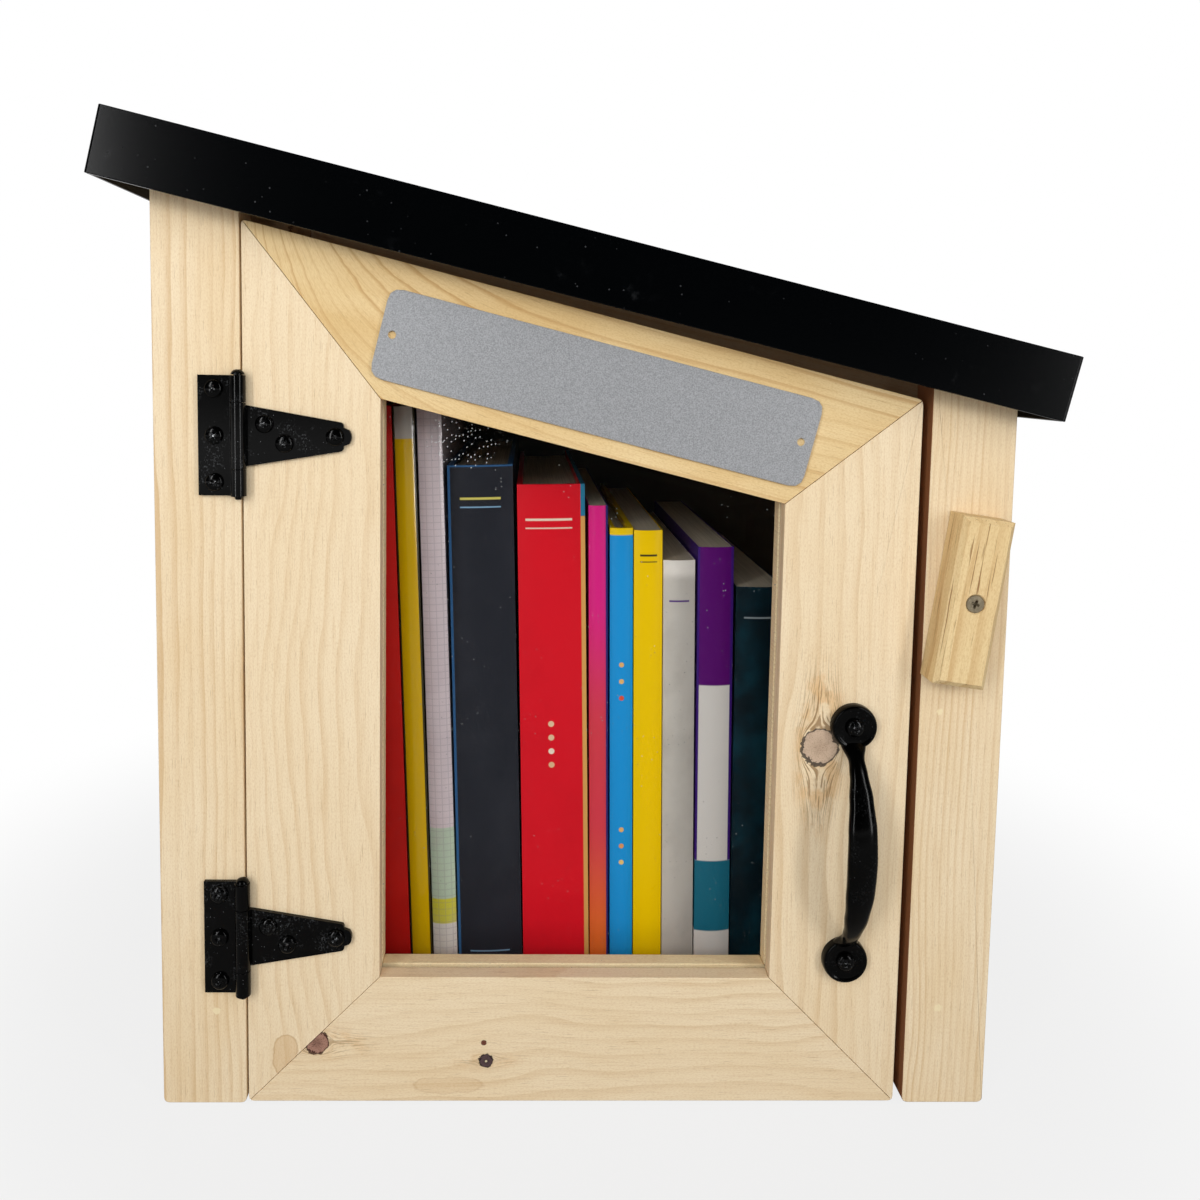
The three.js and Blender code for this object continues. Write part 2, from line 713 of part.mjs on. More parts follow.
function bookRow() {
  const row = new THREE.Group();
  row.position.set(0, boardThickness + bookRowSetback - bookSpineRound, boardThickness + jointGap);
  let left = innerLeft + firstBookGap;
  books.forEach((share, i) => {
    const lean = THREE.MathUtils.degToRad(share.lean);
    const thickness = share.thickness * shelfWidth;
    const solid = book(thickness, share.height * shelfHeight, share.depth * shelfDepth, share.hard);
    const mesh = named(`book_${String(i + 1).padStart(2, '0')}`, solid, material(bookColors[i], 0.5, 0));
    mesh.position.set(left, share.setback * bookRowSetback, 0);
    mesh.rotation.y = -lean;
    row.add(mesh);
    left += thickness / Math.cos(lean) + bookGap;
  });
  return row;
}

// Assembly

const holes = pilotHoles();

const front = new THREE.Group();
front.add(
  named('left_face_stile', faceStile(leftFace, leftFace + stileWidth, holes), pine),
  named('right_face_stile', faceStile(rightFace - stileWidth, rightFace, holes), pine),
  named('header_rail', headerRail(), pine),
  named('left_side_panel', sidePanel(leftFace, innerLeft), pine),
  named('right_side_panel', sidePanel(innerRight, rightFace), pine),
  named('back_panel', backPanel(), plywood),
  named('floor_panel', floorPanel(), plywood),
  ...doorMembers(holes),
  named('window_pane', windowPane(), clearPane),
  ...glazingBeads(),
  tHinge('upper'),
  tHinge('lower'),
  pull(),
  turnCatch(),
  bookRow(),
);

const plate = named('sign_plate', signPlate(), plateMetal);
plate.rotation.y = doorPitch;
const plateX = (doorLeft + doorRight) / 2 + plateHeight / 7.4;
plate.position.set(plateX, -jointGap, doorTop(plateX, plateDrop));
front.add(plate);

const roof = new THREE.Group();
const roofMiddleX = leftFace - capLeftOverhang + (capLength / 2) * Math.cos(roofPitch);
roof.position.set(roofMiddleX, bodyDepth / 2 + (capBackOverhang - capFrontOverhang) / 2, roofHeight(roofMiddleX, 0));
roof.rotation.y = roofPitch;
roof.add(named('roof_cap', roofCap(), roofMetal), named('roof_deck', roofDeck(), plywood));
front.add(roof);

const box = new THREE.Group();
front.position.y = -bodyDepth / 2;
box.add(front);

export default box;
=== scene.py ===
"""The looks of the street book exchange box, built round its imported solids. Metres, in the row's frame."""

import json
import math

import bmesh
import bpy
from mathutils import Matrix, Vector

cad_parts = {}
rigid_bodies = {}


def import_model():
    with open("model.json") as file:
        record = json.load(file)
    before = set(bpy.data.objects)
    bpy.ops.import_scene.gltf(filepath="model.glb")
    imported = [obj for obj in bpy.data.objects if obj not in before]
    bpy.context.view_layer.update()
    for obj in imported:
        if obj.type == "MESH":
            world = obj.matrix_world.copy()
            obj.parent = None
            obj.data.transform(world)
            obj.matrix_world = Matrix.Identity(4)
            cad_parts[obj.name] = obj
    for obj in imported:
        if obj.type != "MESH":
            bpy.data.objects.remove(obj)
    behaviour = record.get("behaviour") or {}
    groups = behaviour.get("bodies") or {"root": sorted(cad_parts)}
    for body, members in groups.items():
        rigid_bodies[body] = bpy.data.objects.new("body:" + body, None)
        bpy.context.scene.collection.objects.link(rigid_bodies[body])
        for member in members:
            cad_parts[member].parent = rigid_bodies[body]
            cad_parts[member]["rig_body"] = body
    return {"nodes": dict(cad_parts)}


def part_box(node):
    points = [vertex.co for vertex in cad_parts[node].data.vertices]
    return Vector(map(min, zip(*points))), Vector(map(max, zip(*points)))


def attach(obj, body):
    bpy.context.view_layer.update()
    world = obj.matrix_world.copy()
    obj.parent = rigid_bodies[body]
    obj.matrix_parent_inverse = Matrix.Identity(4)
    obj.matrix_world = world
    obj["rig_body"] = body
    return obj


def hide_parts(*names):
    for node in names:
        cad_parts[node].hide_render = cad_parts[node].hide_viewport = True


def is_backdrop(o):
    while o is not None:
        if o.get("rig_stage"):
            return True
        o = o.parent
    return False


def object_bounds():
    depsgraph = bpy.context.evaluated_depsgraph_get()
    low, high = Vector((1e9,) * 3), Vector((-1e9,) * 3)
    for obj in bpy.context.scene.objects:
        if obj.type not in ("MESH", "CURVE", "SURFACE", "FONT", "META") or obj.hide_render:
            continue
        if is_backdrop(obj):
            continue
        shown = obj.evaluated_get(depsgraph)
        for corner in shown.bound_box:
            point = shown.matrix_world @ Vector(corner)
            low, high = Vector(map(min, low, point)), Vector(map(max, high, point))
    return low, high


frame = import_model()
cad_low, cad_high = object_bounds()
nodes = frame["nodes"]

MM = 0.001
PHOTO_SIZE = 1200
FRONT_FACE = -0.14
ROOF_PITCH = math.radians(13.2)
DOOR_PITCH = math.radians(13.8)
TO_MM = 1000

# How far edges are eased, and the angles from which an edge counts as sharp
WOOD_EDGE = 0.9 * MM
BUTTON_EDGE = 0.6 * MM
BEAD_EDGE = 0.5 * MM
DECK_EDGE = 0.5 * MM
ROOF_EDGE = 0.35 * MM
HINGE_EDGE = 0.3 * MM
PLATE_EDGE = 0.25 * MM
BEVEL_SEGMENTS = 2
EDGE_ANGLE = math.radians(28)
HINGE_EDGE_ANGLE = math.radians(24)
BOOK_EDGE_ANGLE = math.radians(35)
PIN_SHARP = math.radians(40)
PULL_SHARP = math.radians(48)
SCREW_SHARP = math.radians(32)


# Colours are written as they look on screen, and turned to light values here


def tone(code):
    """A screen colour (sRGB, as six hex digits) as linear light."""
    parts = [int(code[i : i + 2], 16) / 255 for i in (0, 2, 4)]
    linear = [c / 12.92 if c <= 0.04045 else ((c + 0.055) / 1.055) ** 2.4 for c in parts]
    return (*linear, 1.0)


# Shader sockets and finishes

# Two in three cells fall below this and get no speck
SPECK_CHANCE = (0.62, 0.66)
# How far a surface looks along an axis when it starts, and when it is sure, to count as facing the minus side
SQUARE_ON = (-0.6, -0.9)


class Wire:
    """A socket that carries a number. Arithmetic on it adds Math nodes."""

    def __init__(self, finish, socket):
        self.finish = finish
        self.socket = socket

    def math(self, operation, *others):
        return self.finish.math(operation, self, *others)

    def __add__(self, other):
        return self.math("ADD", other)

    def __radd__(self, other):
        return self.finish.math("ADD", other, self)

    def __sub__(self, other):
        return self.math("SUBTRACT", other)

    def __rsub__(self, other):
        return self.finish.math("SUBTRACT", other, self)

    def __mul__(self, other):
        return self.math("MULTIPLY", other)

    def __rmul__(self, other):
        return self.finish.math("MULTIPLY", other, self)

    def __truediv__(self, other):
        return self.math("DIVIDE", other)

    def __rtruediv__(self, other):
        return self.finish.math("DIVIDE", other, self)

    def __pow__(self, other):
        return self.math("POWER", other)

    def clamped(self):
        return self.math("MINIMUM", 1).math("MAXIMUM", 0)

    def step(self, start, end):
        """0 before start and 1 after end, smooth between them. Start may be the larger."""
        low, high = min(start, end), max(start, end)
        to = (0, 1) if start < end else (1, 0)
        settings = {"interpolation_type": "SMOOTHSTEP"}
        values = {"Value": self, "From Min": low, "From Max": high, "To Min": to[0], "To Max": to[1]}
        return Wire(self.finish, self.finish.node("ShaderNodeMapRange", settings, values).outputs[0])


class Finish:
    """A node tree with one method that makes any node, and short names for the ones used most."""

    def __init__(self, name, tree=None):
        if tree is None:
            self.material = bpy.data.materials.new(name)
            self.material.use_nodes = True
            tree = self.material.node_tree
        self.tree = tree
        self.tree.nodes.clear()

    def node(self, kind, settings=None, sockets=None):
        made = self.tree.nodes.new(kind)
        for key, value in (settings or {}).items():
            setattr(made, key, value)
        for key, value in (sockets or {}).items():
            if isinstance(value, Wire):
                value = value.socket
            if isinstance(value, bpy.types.NodeSocket):
                self.tree.links.new(value, made.inputs[key])
            else:
                made.inputs[key].default_value = value
        return made

    def math(self, operation, *values):
        made = self.node("ShaderNodeMath", {"operation": operation}, dict(enumerate(values)))
        return Wire(self, made.outputs[0])

    def place(self):
        """The piece's own coordinates, which move with it."""
        return self.node("ShaderNodeTexCoord").outputs["Object"]

    def parts(self, vector):
        made = self.node("ShaderNodeSeparateXYZ", sockets={0: vector})
        return [Wire(self, out) for out in made.outputs]

    def facing(self, axis):
        """How far the surface looks along an axis, from -1 to 1."""
        return self.parts(self.node("ShaderNodeNewGeometry").outputs["True Normal"])[axis]

    def joined(self, x, y, z):
        return self.node("ShaderNodeCombineXYZ", sockets={0: x, 1: y, 2: z}).outputs[0]

    def noise(self, vector, scale=1.0, detail=2.0, rough=0.5):
        sockets = {"Vector": vector, "Scale": scale, "Detail": detail, "Roughness": rough}
        return Wire(self, self.node("ShaderNodeTexNoise", sockets=sockets).outputs[0])

    def specks(self, vector, scale, size, dimensions="3D"):
        """1 in small round specks, which about one in three cells has."""
        settings = {"voronoi_dimensions": dimensions}
        cells = self.node("ShaderNodeTexVoronoi", settings, {"Vector": vector, "Scale": scale})
        chance = self.parts(cells.outputs["Color"])[0]
        return Wire(self, cells.outputs["Distance"]).step(size, size * 0.5) * chance.step(*SPECK_CHANCE)

    def mix(self, share, a, b):
        made = self.node("ShaderNodeMix", {"data_type": "RGBA"}, {0: share, 6: a, 7: b})
        return made.outputs[2]

    def bump(self, height, strength, distance):
        sockets = {"Height": height, "Strength": strength, "Distance": distance}
        return self.node("ShaderNodeBump", sockets=sockets).outputs[0]

    def surface(self, **sockets):
        """The closing shader. Names are written with _ for a space."""
        plain = {key.replace("_", " "): value for key, value in sockets.items()}
        shader = self.node("ShaderNodeBsdfPrincipled", sockets=plain)
        self.node("ShaderNodeOutputMaterial", sockets={"Surface": shader.outputs[0]})
        return self.material


# Pine: growth rings cut from a log, with knots that the grain flows round


# Sapwood, where rings are wide, the dark side of a ring, and the fine brown streaks
PALE_PINE = ("F6E3C2", "EACFA3", "CBA168", "9C6F3A")
YELLOW_PINE = ("EED5A3", "DDBB80", "BC8A4B", "8C5E2C")
RESIN = "DDA862"
SWIRL = "8A6436"
FILLER = "F8E8BE"
SCAR = "CFA875"
SCAR_EDGE = "B08148"


def pine(
    name, grain, pith, ring, lines, sweep=None, knots=(), marks=(), scars=(), pale=0.5, wander=1.0,
    shade=None, tones=PALE_PINE, streaks=(0.32, 2.4), soft=0.35,
):
    """A board's finish. Millimetres on the face: x to the right, z up.

    grain is its angle above X, pith the log's middle (across, deep), ring the width of a ring and lines the
    strength of its dark side. sweep is (rise, start, fade) of a curve in the grain that dies away from its
    start. knots are (x, z, radius, heart, dark heart, ring), marks are (x, z, radius) of filled nail holes,
    and scars are (x, z, half width, half height, strength) of cut branches. pale is how far the palest tone
    prevails, wander how far the rings drift, and soft the share of a ring before its dark wood starts.
    streaks are (strength, count to the mm). shade is painted shade: (colour, its strength all over, and its
    strength on the side that faces -X).
    """
    wood = Finish(name)
    x, y, z = wood.parts(wood.place())
    x = x * TO_MM
    y = y * TO_MM - FRONT_FACE / MM
    z = z * TO_MM
    along = x * math.cos(grain) + z * math.sin(grain)
    across = z * math.cos(grain) - x * math.sin(grain)
    face = wood.joined(along, across, y)

    def from_point(px, pz):
        return (
            along - (px * math.cos(grain) + pz * math.sin(grain)),
            across - (pz * math.cos(grain) - px * math.sin(grain)),
        )

    # The knots bend the grain as a stone bends a stream
    bent = across
    if sweep:
        rise, start, fade = sweep
        bent = bent - rise * wood.math("EXPONENT", (along - start) * (-1 / fade))
    for kx, kz, radius, *_ in knots:
        da, dc = from_point(kx, kz)
        hold = radius * radius
        for share, stretch in ((0.55, 0.64), (0.4, 0.09)):
            bent = bent - dc * share * (hold / (da * da * stretch + dc * dc).math("MAXIMUM", hold))

    # Rings about the log's middle, each of its own strength
    drift = (wood.noise(wood.joined(along * 0.006, across * 0.012, y * 0.01), 1.0, 2) - 0.5) * 26 * wander
    side = bent + drift - pith[0]
    deep = y - pith[1]
    radius_out = (side * side + deep * deep).math("SQRT")
    phase = radius_out / ring + wood.noise(wood.joined(along * 0.02, across * 0.2, y * 0.2), 1.0, 2) * 0.35
    turn = phase.math("FRACT")
    late = turn.step(soft, 0.94) ** 1.5 * turn.step(1.0, 0.96)
    number = phase.math("FLOOR")
    uneven = wood.noise(wood.joined(number * 0.37, along * 0.004, 3), 1.0, 1)
    late = late * (uneven.step(0.32, 0.68) * 0.8 + 0.25)

    # Fibres, brown streaks and grit along the grain
    fibres = wood.noise(wood.joined(along * 0.03, bent * 1.1, y * 1.1), 1.0, 4, 0.7)
    streak_strength, streak_count = streaks
    streak_place = wood.joined(along * 0.04 * streak_count, bent * streak_count, y * 2)
    ticks = wood.noise(streak_place, 1.0, 2, 0.45).step(0.63, 0.72)
    grit = wood.noise(wood.joined(along * 0.8, bent * 2.0, y * 2.0), 1.0, 2, 0.6)
    cloud = wood.noise(wood.joined(along * 0.012, across * 0.035, y * 0.03), 1.0, 3)
    sapwood, broad, dark_ring, streak = (tone(one) for one in tones)
    color = wood.mix(cloud.step(0.3, 0.72) * (1 - pale) + 0.1, sapwood, broad)
    color = wood.mix((late * lines).clamped(), color, dark_ring)
    color = wood.mix(fibres.step(0.45, 0.75) * 0.28, color, dark_ring)
    color = wood.mix((grit.step(0.4, 0.75) * 0.3).clamped(), color, dark_ring)
    color = wood.mix((ticks * streak_strength).clamped(), color, streak)
    height = fibres * 0.4 - late * 0.25 - ticks * 0.5

    for sx, sz, half_width, half_height, strength in scars:
        da, dc = from_point(sx, sz)
        gap = ((da / half_height) ** 2 + (dc / half_width) ** 2).math("SQRT")
        gap = gap + wood.noise(face, 0.11, 2) * 0.8 - 0.4
        color = wood.mix(gap.step(1.0, 0.94) * strength, color, tone(SCAR))
        color = wood.mix((gap - 0.98).math("ABSOLUTE").step(0.09, 0.0) * strength, color, tone(SCAR_EDGE))

    # Round a knot the wood is soaked with resin and swirls. The knot has a ringed heart and a ring of bark
    for kx, kz, radius, heart, dark_heart, ring_tone in knots:
        da, dc = from_point(kx, kz)
        stretched = ((da * 0.3) ** 2 + dc * dc).math("SQRT")
        near = stretched.step(radius * 1.9, radius * 0.7)
        swirls = wood.noise(wood.joined(along * 0.07, bent * 2.1, y), 1.0, 3, 0.6).step(0.49, 0.59)
        soaked = wood.noise(face, 0.09, 2).step(0.45, 0.6)
        color = wood.mix(near * soaked * min(radius / 18, 0.45), color, tone(RESIN))
        color = wood.mix(near * swirls * min(radius / 11, 0.75), color, tone(SWIRL))
        ragged = (wood.noise(face, 1.4 / radius, 3, 0.6) - 0.5) * radius * 0.4
        distance = (da * da + dc * dc).math("SQRT") + ragged
        angle = wood.math("ARCTAN2", da, dc)
        rays = wood.noise(wood.joined(angle * 3.2, distance * 0.12, kx), 1.0, 2)
        growth = (distance * (5 / radius) + wood.noise(face, 0.4, 2) * 2).math("SINE") * 0.5 + 0.5
        grain_spots = wood.noise(face, 5 / radius + 1, 3, 0.7).step(0.5, 0.66)
        darkness = (growth * 0.35 + rays.step(0.5, 0.7) * 0.25 + grain_spots * 0.55).clamped()
        core = wood.mix(darkness, tone(heart), tone(dark_heart))
        inside = distance.step(radius * 1.02, radius * 0.98)
        color = wood.mix(inside, color, core)
        around = wood.noise(wood.joined(angle * 0.7, kx, kz), 1.0, 2).step(0.35, 0.62)
        wide = wood.noise(face, 3 / radius, 3, 0.65).step(0.36, 0.64) * (around * 0.16 + 0.03) * radius
        bark = ((distance - radius).math("ABSOLUTE") - wide).step(radius * 0.05, 0.0)
        color = wood.mix(bark * 0.9, color, tone(ring_tone))
        height = height - bark * 1.5 - grain_spots * inside * 0.4

    for mx, mz, radius in marks:
        da, dc = from_point(mx, mz)
        gap = (da * da + dc * dc).math("SQRT") + (wood.noise(face, 0.9, 2) - 0.5) * radius
        filled = gap.step(radius, radius * 0.55)
        color = wood.mix(filled * 0.7, color, tone(FILLER))
        height = height + filled * 0.6
    # Painted shade: the board is darkened towards a colour all over, and more on its side that faces -X
    if shade:
        painted_shade_colour, everywhere, left_side = shade
        color = wood.mix(wood.facing(0).step(*SQUARE_ON) * left_side + everywhere, color, tone(painted_shade_colour))
    return wood.surface(
        Base_Color=color,
        Roughness=0.62 - late * 0.12,
        Normal=wood.bump(height, 0.25, 0.12 * MM),
        Specular_IOR_Level=0.3,
    )


# Pieces


WELD = 0.01 * MM
FLATNESS = math.radians(0.6)


def placed(name, data):
    """A new object in the scene."""
    made = bpy.data.objects.new(name, data)
    bpy.context.scene.collection.objects.link(made)
    return made


def clean_copy(node, name):
    """A copy of a node's mesh with its split corners welded and its flat faces whole again."""
    data = bpy.data.meshes.new(name)
    shape = bmesh.new()
    shape.from_mesh(nodes[node].data)
    bmesh.ops.remove_doubles(shape, verts=shape.verts, dist=WELD)
    bmesh.ops.dissolve_limit(shape, angle_limit=FLATNESS, verts=shape.verts, edges=shape.edges)
    shape.to_mesh(data)
    shape.free()
    return data


def piece(name, data, finishes, node, matrix=None):
    """An object of its own that stands for a CAD node and rides on its body."""
    made = placed(name, data)
    if matrix is not None:
        made.matrix_world = matrix
    for finish in finishes:
        data.materials.append(finish)
    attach(made, nodes[node]["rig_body"])
    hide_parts(node)
    return made


# Mitres are sanded flush: they are eased by a share only, and are known by faces this far off square
MITRE_SHARE = 0.3
MITRE_SLANT = 0.42


def flush_mitres(data):
    """Marks the sharp edges of a door member to be eased, and those at its mitres by a share only."""
    shape = bmesh.new()
    shape.from_mesh(data)
    weight = shape.edges.layers.float.new("bevel_weight_edge")
    for edge in shape.edges:
        if edge.calc_face_angle(0) > EDGE_ANGLE:
            slants = [min(abs(face.normal.x), abs(face.normal.z)) for face in edge.link_faces]
            edge[weight] = MITRE_SHARE if max(slants) > MITRE_SLANT else 1
    shape.to_mesh(data)
    shape.free()


def eased(made, width, angle=EDGE_ANGLE):
    """Rounds the edges of a piece and shades it so that its flats stay flat."""
    made.data.shade_smooth()
    made.data.set_sharp_from_angle(angle=angle)
    edge = made.modifiers.new("eased edges", "BEVEL")
    edge.width = width
    edge.segments = BEVEL_SEGMENTS
    edge.limit_method = "WEIGHT" if "bevel_weight_edge" in made.data.attributes else "ANGLE"
    edge.angle_limit = angle
    edge.harden_normals = False
    edge.use_clamp_overlap = True
    weighted = made.modifiers.new("flat faces", "WEIGHTED_NORMAL")
    weighted.keep_sharp = True


def dressed(node, finish, width=WOOD_EDGE, angle=EDGE_ANGLE, mitred=False):
    """A node's own shape with eased edges."""
    name = f"{node}_eased"
    made = piece(name, clean_copy(node, name), [finish], node)
    if mitred:
        flush_mitres(made.data)
    eased(made, width, angle)


# Wooden parts

vertical = math.pi / 2
LOOSE_KNOT = (107.7, 170.9, 8.2, "CDB39A", "9A8068", "463C34")
MITRE_KNOT = (-120.3, 29.2, 5.4, "AC8270", "3C170D", "3A140B")
SMALL_KNOT = (-42.3, 20.4, 3.1, "5A4648", "241517", "1E1012")
TINY_KNOT = (-43.4, 29.2, 1.2, "7B4A3A", "3A1610", "3E1A10")
BUTTON_LEAN = math.radians(8)
left_stile_pine = pine(
    "left stile pine", vertical, pith=(215, 95), ring=2.3, lines=0.5, wander=0.45,
    marks=[(-165.8, 44.5, 2.2)],
)
# The right stile's side that faces -X, in the gap beside the door, is darkened by painted shade
right_stile_pine_painted_shade = pine(
    "right stile pine painted shade", vertical, pith=(-235, 80), ring=2.0, lines=0.45, wander=0.45,
    marks=[(161.9, 187.6, 1.8), (167.5, 46.5, 2.2)], shade=("7C3C06", 0.0, 0.9),
)
hinge_stile_pine = pine(
    "hinge stile pine", vertical, pith=(75, 34), ring=5.2, lines=0.26, pale=0.8, wander=1.6,
    scars=[(-134.5, 22.5, 6, 9.5, 0.42)],
)
latch_stile_pine = pine(
    "latch stile pine", vertical, pith=(-60, 55), ring=6.0, lines=0.3, pale=0.7, wander=1.1,
    knots=[LOOSE_KNOT],
)
top_rail_pine = pine(
    "top rail pine", -DOOR_PITCH, pith=(150, 60), ring=7.6, lines=0.6, sweep=(52, -212, 38), pale=0.3,
    wander=0.4, tones=YELLOW_PINE, soft=0.66,
)
bottom_rail_pine = pine(
    "bottom rail pine", 0.0, pith=(-42, 22), ring=7.5, lines=0.24, pale=0.7, wander=1.8,
    knots=[SMALL_KNOT, TINY_KNOT, MITRE_KNOT],
    scars=[(-60, 8.4, 4.2, 17, 0.2)], marks=[(-42.2, 20.3, 0.7)],
)
# The header is darkened all over by painted shade, for the shadow under the roof
header_pine_painted_shade = pine(
    "header pine painted shade", -ROOF_PITCH, pith=(-80, 40), ring=4.0, lines=0.4,
    knots=[(-130.6, 399, 5, "C9A26A", "5A2E16", "3E2412")], shade=("5E3C12", 0.74, 0.0),
)
button_pine = pine(
    "button pine", vertical - BUTTON_LEAN, pith=(-215, 60), ring=6.5, lines=0.5, pale=0.6,
    tones=YELLOW_PINE, streaks=(0.85, 0.9),
)
# The beads' pine is paler than the boards' pine: painted light on the sill
bead_pine_painted_light = pine(
    "bead pine painted light", 0.0, pith=(-90, 40), ring=2.4, lines=0.3, pale=0.8,
    tones=("FFEEC4", "FADCA6", *PALE_PINE[2:]),
)
side_pine = pine("side panel pine", vertical, pith=(-60, 140), ring=4.2, lines=0.4)

for node, finish in {
    "left_face_stile": left_stile_pine,
    "right_face_stile": right_stile_pine_painted_shade,
    "door_hinge_stile": hinge_stile_pine,
    "door_latch_stile": latch_stile_pine,
    "door_top_rail": top_rail_pine,
    "door_bottom_rail": bottom_rail_pine,
    "header_rail": header_pine_painted_shade,
    "left_side_panel": side_pine,
    "right_side_panel": side_pine,
}.items():
    dressed(node, finish, mitred=node.startswith("door"))
dressed("turn_button", button_pine, BUTTON_EDGE)
for side in ("bottom", "right", "top", "left"):
    dressed(f"glazing_bead_{side}", bead_pine_painted_light, BEAD_EDGE)


def plywood(name, veneers, inside=None):
    """Rotary cut face veneer. veneers are its pale and dark colours, and inside is the colour of painted
    shade laid on the face that looks to the front, for the dark behind the books."""
    wood = Finish(name)
    x, y, z = wood.parts(wood.place())
    x, y, z = x * TO_MM, y * TO_MM, z * TO_MM
    swirl = wood.noise(wood.joined(x * 0.006, y * 0.006, z * 0.011), 1.0, 3, 0.55) * 9
    turn = (swirl + z * 0.03).math("FRACT")
    band = turn.step(0.1, 0.85) * turn.step(1.0, 0.9)
    fibres = wood.noise(wood.joined(x * 0.6, y * 0.6, z * 0.04), 1.0, 4, 0.7)
    pores = wood.noise(wood.joined(x * 1.6, y * 1.6, z * 0.07), 1.0, 2, 0.5).step(0.62, 0.72)
    pale, dark = (tone(one) for one in veneers)
    color = wood.mix((band * 0.45 + fibres.step(0.35, 0.7) * 0.35).clamped(), pale, dark)
    color = wood.mix(pores * 0.35, color, tone(PALE_PINE[3]))
    # Painted shade: the face that looks to -Y is darkened nearly to the inside colour
    if inside:
        color = wood.mix(wood.facing(1).step(*SQUARE_ON) * 0.93, color, tone(inside))
    return wood.surface(Base_Color=color, Roughness=0.72, Normal=wood.bump(fibres - pores, 0.3, 0.1 * MM))


shelf_plywood = plywood("shelf plywood", ("C9A877", "A27E4E"))
# The back panel's front face gets near black painted shade
dressed("back_panel", plywood("back plywood painted shade", ("E3C69A", "C39B63"), "1E120A"))
dressed("floor_panel", shelf_plywood)
dressed("roof_deck", shelf_plywood, DECK_EDGE)


# Painted metal


DUST = "B8BCC0"


def black_paint(name, color, rough, gloss, dust, dust_scale, smudge=0.01, scuffs=0.0, waves=0.0):
    """Black paint with its own dust, smears and scrapes. waves are slow dents that bend a reflection."""
    paint = Finish(name)
    place = paint.place()
    cloud = paint.noise(place, 30, 3)
    orange_peel = paint.noise(place, 900, 1)
    motes = paint.specks(place, dust_scale, 0.13) * cloud.step(0.42, 0.6)
    smear = paint.noise(place, 55, 5, 0.7).step(0.58, 0.8) * cloud.step(0.45, 0.65)
    scraped_places = paint.noise(place, 75, 2).step(0.5, 0.62)
    scrape = paint.noise(place, 1100, 3, 0.7).step(0.54, 0.66) * scraped_places
    if waves:
        orange_peel = orange_peel + paint.noise(place, 7, 1) * waves
    worn = (motes * dust + smear * smudge + scrape * scuffs).clamped()
    return paint.surface(
        Base_Color=paint.mix(worn, tone(color), tone(DUST)),
        Roughness=(rough + smear * 0.1 + motes * 0.3).clamped(),
        Specular_IOR_Level=gloss,
        Normal=paint.bump(orange_peel, 0.08, 0.05 * MM),
    )


roof_paint = black_paint("roof paint", "020304", 0.17, 0.13, 0.08, dust_scale=300, smudge=0.024, waves=70)
hinge_paint = black_paint("hinge paint", "020202", 0.14, 0.18, 0.35, dust_scale=700, scuffs=0.09)
pull_paint = black_paint("pull paint", "020202", 0.15, 0.13, 0.12, dust_scale=600, scuffs=0.02)
dressed("roof_cap", roof_paint, ROOF_EDGE)


def sign_metal_and_painted_rim():
    """Blasted aluminium. The front is grey and speckled, and all that doesn't face the front is brighter,
    as bare cut metal and as a painted highlight on the rim.
    """
    metal = Finish("sign metal painted rim")
    place = metal.place()
    grain = metal.noise(place, 1700, 2, 0.7)
    coarse = metal.noise(place, 420, 2)
    color = metal.mix(grain.step(0.3, 0.7) * 0.7 + coarse * 0.15, tone("98999C"), tone("CDCFD2"))
    # Bare cut metal and painted highlight: faces that don't look to -Y turn near white
    color = metal.mix(metal.facing(1).step(-0.97, -0.8) * 0.8, color, tone("EDEEF0"))
    return metal.surface(
        Base_Color=color,
        Metallic=0.55,
        Roughness=0.5 + grain * 0.12,
        Normal=metal.bump(grain, 0.25, 0.03 * MM),
    )


dressed("sign_plate", sign_metal_and_painted_rim(), PLATE_EDGE)


# Turned, lofted and cut pieces


def turned_rings(shape, profile, steps, middle=(0, 0, 0)):
    """Adds a solid turned round the Y axis, from (radius, y) points that start and end on the axis."""
    rings = []
    for radius, y in profile:
        around = [2 * math.pi * i / steps for i in range(steps)] if radius else [0]
        spots = [(radius * math.cos(a), y, radius * math.sin(a)) for a in around]
        rings.append([shape.verts.new(Vector(middle) + Vector(spot)) for spot in spots])
    for ring, after in zip(rings, rings[1:]):
        for i in range(steps):
            j = (i + 1) % steps
            corners = [ring[i % len(ring)], ring[j % len(ring)], after[j % len(after)], after[i % len(after)]]
            shape.faces.new(list(dict.fromkeys(corners)))


def lathe(profile, steps):
    """A solid turned round the Y axis, on its own."""
    shape = bmesh.new()
    turned_rings(shape, profile, steps)
    return shape


def lofted_rings(shape, rings):
    """Adds a solid through closed rings of points, with flat ends."""
    made = [[shape.verts.new(point) for point in ring] for ring in rings]
    shape.faces.new(made[0][::-1])
    shape.faces.new(made[-1])
    for ring, after in zip(made, made[1:]):
        for i in range(len(ring)):
            j = (i + 1) % len(ring)
            shape.faces.new([ring[i], ring[j], after[j], after[i]])


def between(table, share):
    """A smooth value from (share, value) rows in rising order."""
    for (start, low), (end, high) in zip(table, table[1:]):
        if share <= end:
            part = (share - start) / (end - start)
            return low + (high - low) * part * part * (3 - 2 * part)
    return table[-1][1]


def to_mesh(name, shape):
    """The finished shape as a mesh, with its faces turned outward."""
    bmesh.ops.recalc_face_normals(shape, faces=shape.faces)
    data = bpy.data.meshes.new(name)
    shape.to_mesh(data)
    shape.free()
    return data


# Hinges: leaf and strap in their own shape with eased edges, and a pin with a round head

PIN_RADIUS = 1.65 * MM
PIN_TIP = 1.3 * MM
PIN_CHAMFER = 0.5 * MM
PIN_HEAD = 3 * MM
PIN_HEAD_SEAT = 2 * MM
PIN_HEAD_RISE = 2.3 * MM
PIN_SIDES = 32
# Steps of a quarter turn, over a pin's head and over a screw's
DOME_STEPS = 8

